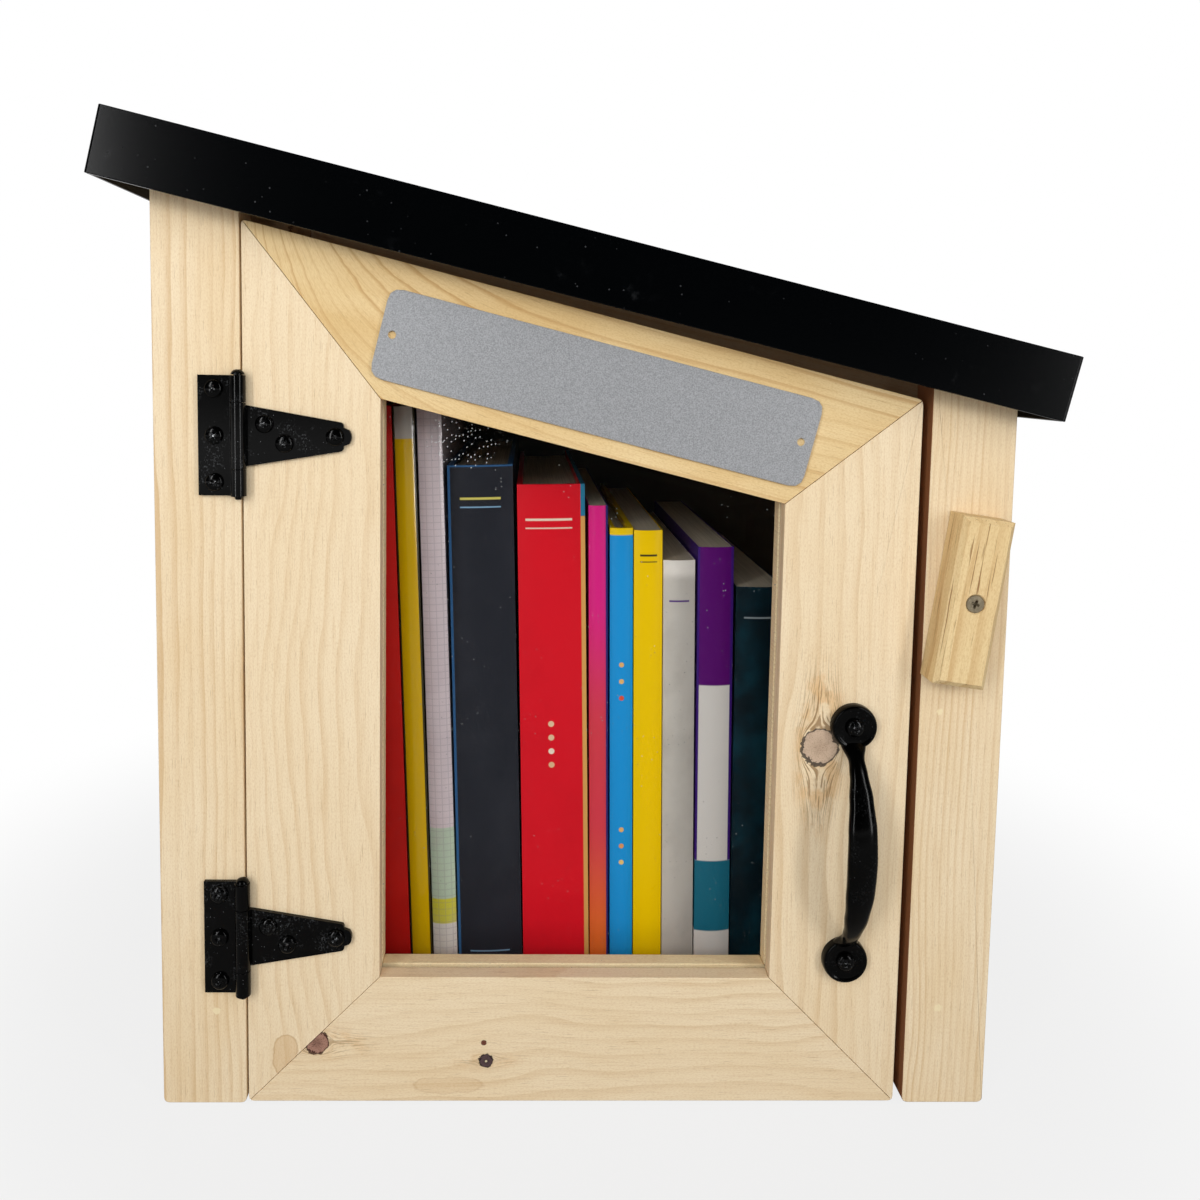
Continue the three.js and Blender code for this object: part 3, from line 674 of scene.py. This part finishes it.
for level in ("upper", "lower"):
    for part in ("leaf", "strap"):
        dressed(f"{level}_hinge_{part}", hinge_paint, HINGE_EDGE, HINGE_EDGE_ANGLE)
    low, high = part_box(f"{level}_hinge_pin")
    seat = high.z - PIN_HEAD_SEAT
    profile = [(0, low.z), (PIN_TIP, low.z), (PIN_RADIUS, low.z + PIN_CHAMFER), (PIN_RADIUS, seat)]
    for step in range(DOME_STEPS + 1):
        turn = step / DOME_STEPS * math.pi / 2
        radius = PIN_HEAD * math.cos(turn) if step < DOME_STEPS else 0
        profile.append((radius, seat + PIN_HEAD_RISE * math.sin(turn)))
    pin = to_mesh(f"{level}_hinge_pin_round", lathe(profile, PIN_SIDES))
    middle = (low + high) / 2
    pin.transform(Matrix.Translation((middle.x, middle.y, 0)) @ Matrix.Rotation(math.pi / 2, 4, "X"))
    pin.shade_smooth()
    pin.set_sharp_from_angle(angle=PIN_SHARP)
    piece(pin.name, pin, [hinge_paint], f"{level}_hinge_pin")


# Door pull: a bowed grip that flares into two dished rosettes

ROSETTE = 10.3
ROSETTE_HEIGHT = 4.6
ROSETTE_APART = 110
ROSETTE_SIDES = 72
GRIP_FOOT = 46.6
GRIP_BOW = 25
GRIP_REACH = 27
GRIP_STEPS = 64
GRIP_SIDES = 28
# Below 1, the power by which the grip's section is squarer than an ellipse
FLAT_FRONT = 0.8
# Rows of (share of the way from the middle to a foot, half size in mm)
grip_width = [(0, 6.55), (0.25, 6.3), (0.5, 5.3), (0.72, 4.0), (0.84, 3.5), (1, 5.6)]
grip_thickness = [(0, 3.3), (0.5, 3.0), (0.84, 2.6), (1, 2.3)]


def bowed(share):
    """A point on the grip's path, and its outward direction."""
    foot = -ROSETTE_HEIGHT / 2
    bow = foot - GRIP_BOW
    spots = [(foot, -GRIP_FOOT), (bow, -GRIP_REACH), (bow, GRIP_REACH), (foot, GRIP_FOOT)]
    rest = 1 - share
    weights = [rest ** 3, 3 * rest ** 2 * share, 3 * rest * share ** 2, share ** 3]
    slopes = [-rest ** 2, rest ** 2 - 2 * rest * share, 2 * rest * share - share ** 2, share ** 2]

    def summed(factors):
        return Vector((0, *(sum(f * spot[axis] for f, spot in zip(factors, spots)) for axis in (0, 1))))

    middle, ahead = summed(weights), summed(slopes)
    ahead.normalize()
    return middle, Vector((0, -ahead.z, ahead.y))


def squared(value):
    return math.copysign(abs(value) ** FLAT_FRONT, value)


def grip_ring(share):
    """The grip's section at a share of the way along its path."""
    middle, outward = bowed(share)
    wide = between(grip_width, abs(2 * share - 1))
    thick = between(grip_thickness, abs(2 * share - 1))
    ring = []
    for i in range(GRIP_SIDES):
        angle = 2 * math.pi * i / GRIP_SIDES
        sideways = Vector((wide * squared(math.cos(angle)), 0, 0))
        ring.append(middle + sideways + outward * thick * squared(math.sin(angle)))
    return ring


pull_shape = bmesh.new()
lofted_rings(pull_shape, [grip_ring(step / GRIP_STEPS) for step in range(GRIP_STEPS + 1)])
# From the dished seat of the screw over the rim to the back, which stands just off the door
rosette_profile = [
    (0, -3.4), (4.15, -3.4), (4.3, -3.75), (7.6, -4.1), (8.3, -4.25), (8.75, -4.55), (9.2, -ROSETTE_HEIGHT),
    (9.65, -4.4), (10.05, -3.8), (10.25, -3.0), (ROSETTE, -2.2), (ROSETTE, -0.3), (0, -0.3),
]
for z in (ROSETTE_APART / 2, -ROSETTE_APART / 2):
    turned_rings(pull_shape, rosette_profile, ROSETTE_SIDES, (0, 0, z))
bmesh.ops.scale(pull_shape, vec=(MM, MM, MM), verts=pull_shape.verts)
low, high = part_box("door_pull")
pull = to_mesh("door_pull_cast", pull_shape)
pull.transform(Matrix.Translation(((low.x + high.x) / 2, FRONT_FACE, (low.z + high.z) / 2)))
pull.shade_smooth()
pull.set_sharp_from_angle(angle=PULL_SHARP)
piece(pull.name, pull, [pull_paint], "door_pull")


# Screws with a pressed cross recess

HEAD = 4 * MM
RISE = 1.9 * MM
# Below 1, the power by which the dome is fuller than a ball
DOME_POWER = 0.75
SHANK = 1.9 * MM
PAN_LENGTH = 15 * MM
FLAT_LENGTH = 32 * MM
POINT = 3 * MM
SCREW_SIDES = 40
# Depth, reach and half width of a recess, and the shares of reach and width left at its bottom
PAN_RECESS = (1.5 * MM, 2.5 * MM, 0.7 * MM)
FLAT_RECESS = (2.2 * MM, 2.5 * MM, 0.75 * MM)
REACH_LEFT, WIDTH_LEFT = 0.3, 0.45
CUTTER_OVERRUN = 1.2 * MM
# A pan head's faces are those of its recess when they lie this near the middle, this far under the dome, and
# this far above the seat
RECESS_RADIUS = 2.6 * MM
RECESS_SKIN = 0.12 * MM
RECESS_FLOOR = 0.2 * MM


def cross_cutter(face, depth, reach, width):
    """A cross that narrows as it goes in, from y = face towards +Y."""
    shape = bmesh.new()
    for turn in (0.0, math.pi / 2):
        spin = Matrix.Rotation(turn, 4, "Y")
        near = [(-reach, -width), (reach, -width), (reach, width), (-reach, width)]
        mouth = [shape.verts.new(spin @ Vector((a, face - CUTTER_OVERRUN, b))) for a, b in near]
        far = [Vector((a * REACH_LEFT, face + depth, b * WIDTH_LEFT)) for a, b in near]
        bottom = [shape.verts.new(spin @ spot) for spot in far]
        shape.faces.new(mouth)
        shape.faces.new(bottom[::-1])
        for i in range(4):
            j = (i + 1) % 4
            shape.faces.new([mouth[j], mouth[i], bottom[i], bottom[j]])
    return shape


def cut(name, solid, cutter):
    """The solid less the cutter, as a new mesh."""
    body = placed(name, to_mesh(name, solid))
    tool = placed(f"{name} tool", to_mesh(f"{name} tool", cutter))
    step = body.modifiers.new("recess", "BOOLEAN")
    step.object = tool
    step.solver = "EXACT"
    step.use_self = True
    view = bpy.context.evaluated_depsgraph_get()
    result = bpy.data.meshes.new_from_object(body.evaluated_get(view))
    for made in (body, tool):
        bpy.data.objects.remove(made)
    return result


def dome(radius):
    """The height of a pan head's dome at a distance from its middle."""
    return RISE * math.cos(math.asin(radius / HEAD)) ** DOME_POWER


pan_radii = [HEAD * math.sin(step / DOME_STEPS * math.pi / 2) for step in range(DOME_STEPS + 1)]
pan_profile = [(radius, -dome(radius)) for radius in pan_radii]
pan_profile += [(SHANK, 0), (SHANK, PAN_LENGTH - POINT), (0, PAN_LENGTH)]
pan_head = cut("pan head screw", lathe(pan_profile, SCREW_SIDES), cross_cutter(-RISE, *PAN_RECESS))
# The recess takes the second finish
for face in pan_head.polygons:
    radius = math.hypot(face.center.x, face.center.z)
    sunk = radius < RECESS_RADIUS and -dome(radius) + RECESS_SKIN < face.center.y < -RECESS_FLOOR
    face.material_index = int(sunk)
# A flat face with a thin rim, a cone down to the shank, and a point
flat_profile = [(0, 0), (3.7 * MM, 0), (3.95 * MM, 0.25 * MM), (SHANK, 2.6 * MM)]
flat_profile += [(SHANK, FLAT_LENGTH - POINT), (0, FLAT_LENGTH)]
flat_head = cut("flat head screw", lathe(flat_profile, SCREW_SIDES), cross_cutter(0, *FLAT_RECESS))


def screw(node, head, length, finishes, turn):
    """A copy of a screw in the place of a node, turned about itself."""
    low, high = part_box(node)
    middle = (low + high) / 2
    # Clearing the copy's finishes would set all its faces back to the first one
    data = head.copy()
    data.transform(Matrix.Translation((middle.x, high.y - length, middle.z)) @ Matrix.Rotation(turn, 4, "Y"))
    data.shade_smooth()
    data.set_sharp_from_angle(angle=SCREW_SHARP)
    piece(f"{node}_cross", data, finishes, node)


# How far each black screw is turned, in radians
turns = [0.3, 1.1, 0.7, 0.2, 1.3, 0.9, 0.5, 0.05, 1.2, 0.8, 0.35, 1.0, 0.6, 0.15]
black_screws = [
    f"{level}_{part}_screw_{i}"
    for level in ("upper", "lower")
    for part in ("leaf", "strap")
    for i in (1, 2, 3)
]
black_screws += ["upper_pull_screw", "lower_pull_screw"]
recess = Finish("scraped recess")
scraped = recess.noise(recess.place(), 700, 2).step(0.53, 0.62)
scraped_recess = recess.surface(
    Base_Color=recess.mix(scraped, tone("060606"), tone("B4B6B8")),
    Metallic=scraped,
    Roughness=0.3,
)
for node, turn in zip(black_screws, turns):
    screw(node, pan_head, PAN_LENGTH, [hinge_paint, scraped_recess], turn)
bronze = Finish("bronze screw")
tarnish = bronze.noise(bronze.place(), 900, 3)
bronze_screw = bronze.surface(
    Base_Color=bronze.mix(tarnish, tone("B3A68C"), tone("7B6E58")),
    Metallic=0.8,
    Roughness=0.38 + tarnish * 0.15,
)
screw("turn_button_screw", flat_head, FLAT_LENGTH, [bronze_screw], 0.35)


# The pane, with lint all over and a patch of dust that thins out from a spot at its upper left

DUST_X, DUST_Z = -54, 309

pane = Finish("clear pane")
place = pane.place()
px, _, pz = pane.parts(place)
from_corner = ((px * TO_MM - DUST_X) ** 2 + (pz * TO_MM - DUST_Z) ** 2).math("SQRT")
on_pane = pane.joined(px, pz, 0)
lint = pane.specks(place, 420, 0.16) * pane.noise(place, 60, 3).step(0.5, 0.62)
thin_out = (from_corner + pane.noise(place, 160, 2) * 22).step(34, 16)
fine = pane.specks(on_pane, 560, 0.17, "2D") * thin_out.step(0.2, 0.5)
clear_pane = pane.surface(
    Base_Color=pane.mix((lint + fine).clamped(), tone("0C1010"), tone("E8EEEE")),
    Alpha=(0.03 + lint * 0.3 + fine * 0.5).clamped(),
    Roughness=0.06 + lint * 0.3,
)
nodes["window_pane"].data.materials.clear()
nodes["window_pane"].data.materials.append(clear_pane)


# Books


def paper():
    """The finish of a block of pages, with its thin sheets."""
    leaves = Finish("page edges")
    x, y, z = leaves.parts(leaves.place())
    sheets = leaves.noise(leaves.joined(x * 2600, y * 12, z * 12), 1.0, 2, 0.6)
    foxing = leaves.noise(leaves.place(), 40, 3)
    darkness = (sheets.step(0.35, 0.65) * 0.5 + foxing * 0.2).clamped()
    color = leaves.mix(darkness, tone("D3CAB6"), tone("978D79"))
    return leaves.surface(Base_Color=color, Roughness=0.8, Normal=leaves.bump(sheets, 0.4, 0.1 * MM))


page_edges = paper()


# How far the sides and the ends of a printed strip blur, in mm
SOFT_SIDE = 0.15
SOFT_END = 0.3


def rules(left, right, rows):
    """Printed lines across a spine. rows are (height, thickness, colour) in mm."""
    return [(left, right, height, height + thick, shade) for height, thick, shade in rows]


def cover(name, bands, rough=0.3, gloss=0.14, edges=(), cloud=None, dots=None, grid=None, blend=0.4):
    """A printed cover, in millimetres from the foot and the left edge of the spine.

    bands are (height up to which the colour runs, colour), from the foot up, with blend mm of softness at
    their joints. edges are strips (left, right, foot, head, colour), cloud is (colour, strength) of
    mottling, grid is (spacing, strength, colour) of ruled lines, and dots are (spacing, radius, place
    across, (foot, head) pairs between which they show, two colours).
    """
    sleeve = Finish(name)
    place = sleeve.place()
    x, _, z = sleeve.parts(place)
    up = z * TO_MM
    across = x * TO_MM
    color = tone(bands[0][1])
    for (start, _), (_, shade) in zip(bands, bands[1:]):
        color = sleeve.mix(up.step(start - blend, start + blend), color, tone(shade))
    mottle = sleeve.noise(place, 26, 4, 0.6)
    if cloud:
        color = sleeve.mix(mottle.step(0.42, 0.72) * cloud[1], color, tone(cloud[0]))
    if grid:
        spacing, strength, shade = grid
        rows, columns = [
            ((one / spacing).math("FRACT") - 0.5).math("ABSOLUTE").step(0.4, 0.49) for one in (up, across)
        ]
        color = sleeve.mix(rows.math("MAXIMUM", columns) * strength, color, tone(shade))
    if dots:
        spacing, size, middle, groups, shades = dots
        row = up / spacing
        gap = (((row.math("FRACT") - 0.5) * spacing) ** 2 + (across - middle) ** 2).math("SQRT")
        shown = sum(up.step(foot - 1, foot) * up.step(head + 1, head) for foot, head in groups)
        pick = sleeve.noise(sleeve.joined(row.math("FLOOR") * 0.7, 5, 0)).step(0.46, 0.52)
        spot = sleeve.mix(pick, tone(shades[0]), tone(shades[1]))
        color = sleeve.mix(gap.step(size + 0.2, size - 0.2) * shown, color, spot)
    for left, right, foot, head, shade in edges:
        strip = across.step(left - SOFT_SIDE, left + SOFT_SIDE)
        strip = strip * across.step(right + SOFT_SIDE, right - SOFT_SIDE)
        strip = strip * up.step(foot - SOFT_END, foot + SOFT_END) * up.step(head + SOFT_END, head - SOFT_END)
        color = sleeve.mix(strip, color, tone(shade))
    wear = sleeve.noise(place, 160, 2)
    return sleeve.surface(
        Base_Color=color,
        Roughness=rough + wear * 0.12,
        Specular_IOR_Level=gloss,
        Normal=sleeve.bump(wear, 0.05, 0.03 * MM),
    )


# lean is in degrees, hard says that the cover is of board, and the rest is what cover takes. Strips may run
# past the spine's ends
BOOKS = {
    "book_01": dict(lean=2.2, hard=True, bands=[(0, "6B4A2F")], cloud=("4E3421", 0.5)),
    "book_02": dict(lean=2.2, hard=True, bands=[(0, "2F4F4F")], cloud=("22383A", 0.5)),
    "book_03": dict(lean=2.2, hard=True, bands=[(0, "C81C16")], cloud=("A0120F", 0.5)),
    "book_04": dict(
        lean=2.2, hard=True, bands=[(286, "DDB400"), (0, "BDB8AE")], rough=0.08, gloss=0.5,
        edges=[(-1, 0.8, -1, 400, "3A3416"), (9.7, 12, -1, 400, "3A3416")],
    ),
    "book_05": dict(
        lean=2.1, hard=True, bands=[(40, "E9E6DC"), (53, "D8D44A"), (90, "BFD3BB"), (0, "DDD0D4")],
        grid=(3.4, 0.3, "8F8791"), cloud=("BFB0B6", 0.4), rough=0.12, gloss=0.4,
    ),
    "book_06": dict(
        lean=1.8, hard=True, bands=[(0, "25272E")], cloud=("33353C", 0.5),
        edges=[
            (-1, 1.3, -1, 400, "33608E"), (-1, 40, 272.2, 400, "33608E"),
            *rules(6, 26, [(256, 1.1, "D2C866"), (252, 0.6, "86AFCF")]),
            *rules(6, 26, [(20, 1.1, "D2C866"), (24.5, 0.6, "86AFCF")]),
        ],
    ),
    "book_07": dict(
        lean=1.5, hard=True, bands=[(0, "DC1626")], cloud=("C4101E", 0.3),
        edges=[
            (31.2, 40, -1, 248, "D9A45A"), (31.2, 40, 248, 400, "2A7C9E"),
            *rules(4, 27, [(246, 1.1, "EFDCC6"), (242, 0.6, "EFDCC6")]),
            *rules(4, 27, [(15, 1.1, "EFDCC6"), (19.5, 0.6, "EFDCC6")]),
        ],
        dots=(7, 1.5, 15.5, [(119, 147)], ("EFDCC6", "E3B98E")),
    ),
    "book_08": dict(
        lean=1.2, hard=False, bands=[(60, "E8702C"), (175, "D8404E"), (0, "DE2585")], blend=38,
        edges=[(8.4, 12, -1, 400, "2A2C70")],
    ),
    "book_09": dict(
        lean=1.1, hard=True, bands=[(239.5, "1E96DC"), (0, "EFCB0C")],
        dots=(8.5, 1.25, 5.7, [(68, 94), (153, 178)], ("D9553B", "E9C77A")),
    ),
    "book_10": dict(
        lean=1.1, hard=False, bands=[(0, "F5CB00")], rough=0.24,
        edges=rules(3, 11.4, [(229, 1, "3A3320"), (226, 0.5, "3A3320"), (12, 1, "3A3320")]),
    ),
    "book_11": dict(
        lean=1.1, hard=False, bands=[(219, "C9C5BD"), (0, "EAE6DE")], cloud=("A9A49C", 0.6), blend=3,
        edges=rules(3, 13, [(206, 0.9, "55347E"), (13, 0.9, "55347E")]),
    ),
    "book_12": dict(
        lean=0.9, hard=False, bands=[(36, "DFDCD7"), (73, "1E6E86"), (164, "DFDCD7"), (0, "5A0B70")],
        edges=[(-1, 1, 73, 400, "3E1B78"), (16.4, 20, 73, 400, "3E1B78")],
    ),
    "book_13": dict(
        lean=0.6, hard=False, bands=[(0, "071820")], cloud=("0B4453", 0.7),
        edges=rules(4, 20, [(198, 0.8, "8C979B"), (16, 0.8, "A33028")]),
    ),
}


# Of hard and of soft covers: the board, how far it stands over the pages, and how far its edges are eased
HARD_COVER = (2.6 * MM, 3 * MM, 0.35 * MM)
SOFT_COVER = (0.45 * MM, 0.12 * MM, 0.15 * MM)
SPINE_ROUND = 1.6 * MM
SPINE_STEPS = 10
FORE_HOLLOW = 2.2 * MM
FORE_STEPS = 6
PAGE_SLACK = 0.15 * MM
BOOK_WELD = 0.001 * MM


def ribbon(points, low, high, shape, index):
    """Adds a solid between two heights from a closed outline in X and Y, with its finish's number."""
    under = [shape.verts.new((x, y, low)) for x, y in points]
    over = [shape.verts.new((x, y, high)) for x, y in points]
    made = [shape.faces.new(under[::-1]), shape.faces.new(over)]
    for i in range(len(points)):
        j = (i + 1) % len(points)
        made.append(shape.faces.new([under[i], under[j], over[j], over[i]]))
    for one in made:
        one.material_index = index


def book_mesh(name, thick, tall, deep, board, square):
    """Covers that wrap round a block of pages, spine to the front, with the spine's corner at the origin."""
    spine = []
    for i in range(SPINE_STEPS + 1):
        share = i / SPINE_STEPS
        spine.append((thick * share, SPINE_ROUND * (1 - 4 * share * (1 - share))))
    inner = [(board + (thick - 2 * board) * p[0] / thick, p[1] + board) for p in spine]
    shape = bmesh.new()
    wrap = [(0, deep), *spine, (thick, deep), (thick - board, deep), *inner[::-1], (board, deep)]
    ribbon(wrap, 0, tall, shape, 0)
    fore = deep - square
    left, right = board + PAGE_SLACK, thick - board - PAGE_SLACK
    block = [(left, fore), *[(min(max(x, left), right), y + PAGE_SLACK) for x, y in inner], (right, fore)]
    for i in range(1, FORE_STEPS):
        share = i / FORE_STEPS
        across = right - (thick - 2 * board - 2 * PAGE_SLACK) * share
        block.append((across, fore - FORE_HOLLOW * math.sin(math.pi * share)))
    ribbon(block, square, tall - square, shape, 1)
    bmesh.ops.remove_doubles(shape, verts=shape.verts, dist=BOOK_WELD)
    bmesh.ops.recalc_face_normals(shape, faces=shape.faces)
    bmesh.ops.triangulate(shape, faces=[f for f in shape.faces if len(f.verts) > 4])
    return to_mesh(name, shape)


for node, look in BOOKS.items():
    low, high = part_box(node)
    lean = math.radians(look["lean"])
    c, s = math.cos(lean), math.sin(lean)
    # The leaning book's own thickness and height, from the upright box round it
    wide, tall = high.x - low.x, high.z - low.z
    thick = (c * wide - s * tall) / (c * c - s * s)
    height = (c * tall - s * wide) / (c * c - s * s)
    board, square, edge = HARD_COVER if look["hard"] else SOFT_COVER
    data = book_mesh(f"{node}_bound", thick, height, high.y - low.y, board, square)
    printed = {key: value for key, value in look.items() if key not in ("lean", "hard")}
    finishes = [cover(f"{node} cover", **printed), page_edges]
    corner = Matrix.Translation((low.x + height * s, low.y, low.z))
    made = piece(f"{node}_bound", data, finishes, node, corner @ Matrix.Rotation(-lean, 4, "Y"))
    eased(made, edge, BOOK_EDGE_ANGLE)


# Camera at the photograph's place

PITCH, YAW, ROLL = math.radians(4.59), math.radians(1.24), math.radians(0.87)
FOCAL_PX = 1010.51
CENTRE_PX = (549.93, 450.48)
CAMERA_PLACE = (-0.0266, -0.5841, 0.3399)
SENSOR = 36
forward = Vector((math.sin(YAW) * math.cos(PITCH), math.cos(YAW) * math.cos(PITCH), -math.sin(PITCH)))
level_right = Vector((math.cos(YAW), -math.sin(YAW), 0))
level_up = level_right.cross(forward)
right = level_right * math.cos(ROLL) + level_up * math.sin(ROLL)
up = level_up * math.cos(ROLL) - level_right * math.sin(ROLL)
lens = bpy.data.cameras.new("camera")
lens.sensor_width = SENSOR
lens.lens = SENSOR * FOCAL_PX / PHOTO_SIZE
lens.shift_x = (PHOTO_SIZE / 2 - CENTRE_PX[0]) / PHOTO_SIZE
lens.shift_y = (CENTRE_PX[1] - PHOTO_SIZE / 2) / PHOTO_SIZE
camera = placed("camera", lens)
turned = Matrix([(right[i], up[i], -forward[i]) for i in range(3)])
camera.matrix_world = Matrix.Translation(CAMERA_PLACE) @ turned.to_4x4()
bpy.context.scene.camera = camera


# Studio: a pale floor, soft boxes at both sides, in front and behind, and a white surround

bpy.context.scene.view_settings.view_transform = "Standard"
WHITE = tone("FFFFFF")
FLOOR_GREY = tone("A0A0A0")
FILL_LIGHT = 0.29
FLOOR_DROP = 0.2 * MM
FLOOR_RADIUS = 6
FLOOR_SIDES = 96
# Metres from the middle over which shadows fade out, and from which reflections see a white floor
SHADOW_FADE = (0.24, 0.52)
MIRROR_FADE = (1.4, 4.0)
SHADOW_SHARE = 0.18


def soft_box(name, place, target, size, watts, mirrored=True):
    """A light that looks from a place to a target, and shows in reflections if it is mirrored."""
    light = bpy.data.lights.new(name, "AREA")
    light.shape = "RECTANGLE"
    light.size, light.size_y = size
    light.energy = watts
    made = placed(name, light)
    made.visible_glossy = mirrored
    made.location = place
    made.rotation_euler = (Vector(target) - Vector(place)).to_track_quat("-Z", "Y").to_euler()


soft_box("left soft box", (-0.67, -1.08, 0.6), (0, -0.1, 0.38), (0.12, 1.1), 5.1)
soft_box("right soft box", (0.82, -1.02, 0.6), (0, -0.1, 0.38), (0.12, 1.1), 4.8)
soft_box("front soft box", (-0.06, -0.95, 0.56), (0, -0.1, 0.3), (0.8, 0.2), 2.75, mirrored=False)
soft_box("back soft box", (0.1, 1.5, 1.0), (0, 0.1, 0.24), (1.5, 0.6), 13)


def ray_kinds(finish):
    """1 on rays from the camera, on mirrored rays and on rays that came through something."""
    path = finish.node("ShaderNodeLightPath").outputs
    return [Wire(finish, path[f"Is {kind} Ray"]) for kind in ("Camera", "Glossy", "Transmission")]


studio = bpy.data.worlds.new("studio")
studio.use_nodes = True
bpy.context.scene.world = studio
air = Finish("studio", studio.node_tree)
# Light comes weakly from all round. The camera sees white all round, and reflections see it only towards +Y
direct, glossy, through = ray_kinds(air)
seen = (direct + glossy + through).clamped()
behind = air.parts(air.node("ShaderNodeTexCoord").outputs["Generated"])[1]
backdrop = (behind.step(-0.2, 0.4) + direct + through).clamped()
fill = air.node("ShaderNodeBackground", sockets={"Color": WHITE, "Strength": FILL_LIGHT})
white = air.node("ShaderNodeBackground", sockets={"Color": WHITE, "Strength": backdrop})
both = air.node("ShaderNodeMixShader", sockets={0: seen, 1: fill.outputs[0], 2: white.outputs[0]})
air.node("ShaderNodeOutputWorld", sockets={"Surface": both.outputs[0]})

floor_shape = bmesh.new()
bmesh.ops.create_circle(floor_shape, cap_ends=True, segments=FLOOR_SIDES, radius=FLOOR_RADIUS)
floor = placed("floor", to_mesh("floor", floor_shape))
floor.location.z = cad_low.z - FLOOR_DROP
ground = Finish("pale floor")
gx, gy, _ = ground.parts(ground.place())
out = (gx * gx + gy * gy).math("SQRT")
matt = ground.node("ShaderNodeBsdfDiffuse", sockets={"Color": FLOOR_GREY})
glow = ground.node("ShaderNodeEmission", sockets={"Color": WHITE, "Strength": 1.0})
direct, glossy, through = ray_kinds(ground)
# The camera sees shadows on the floor faintly near the box, and white further out
near_box = out.step(*SHADOW_FADE) * SHADOW_SHARE + (1 - SHADOW_SHARE)
share = (direct * near_box + (glossy + through) * out.step(*MIRROR_FADE)).clamped()
blend = ground.node("ShaderNodeMixShader", sockets={0: share, 1: matt.outputs[0], 2: glow.outputs[0]})
ground.node("ShaderNodeOutputMaterial", sockets={"Surface": blend.outputs[0]})
floor.data.materials.append(ground.material)
floor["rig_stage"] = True

low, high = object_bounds()
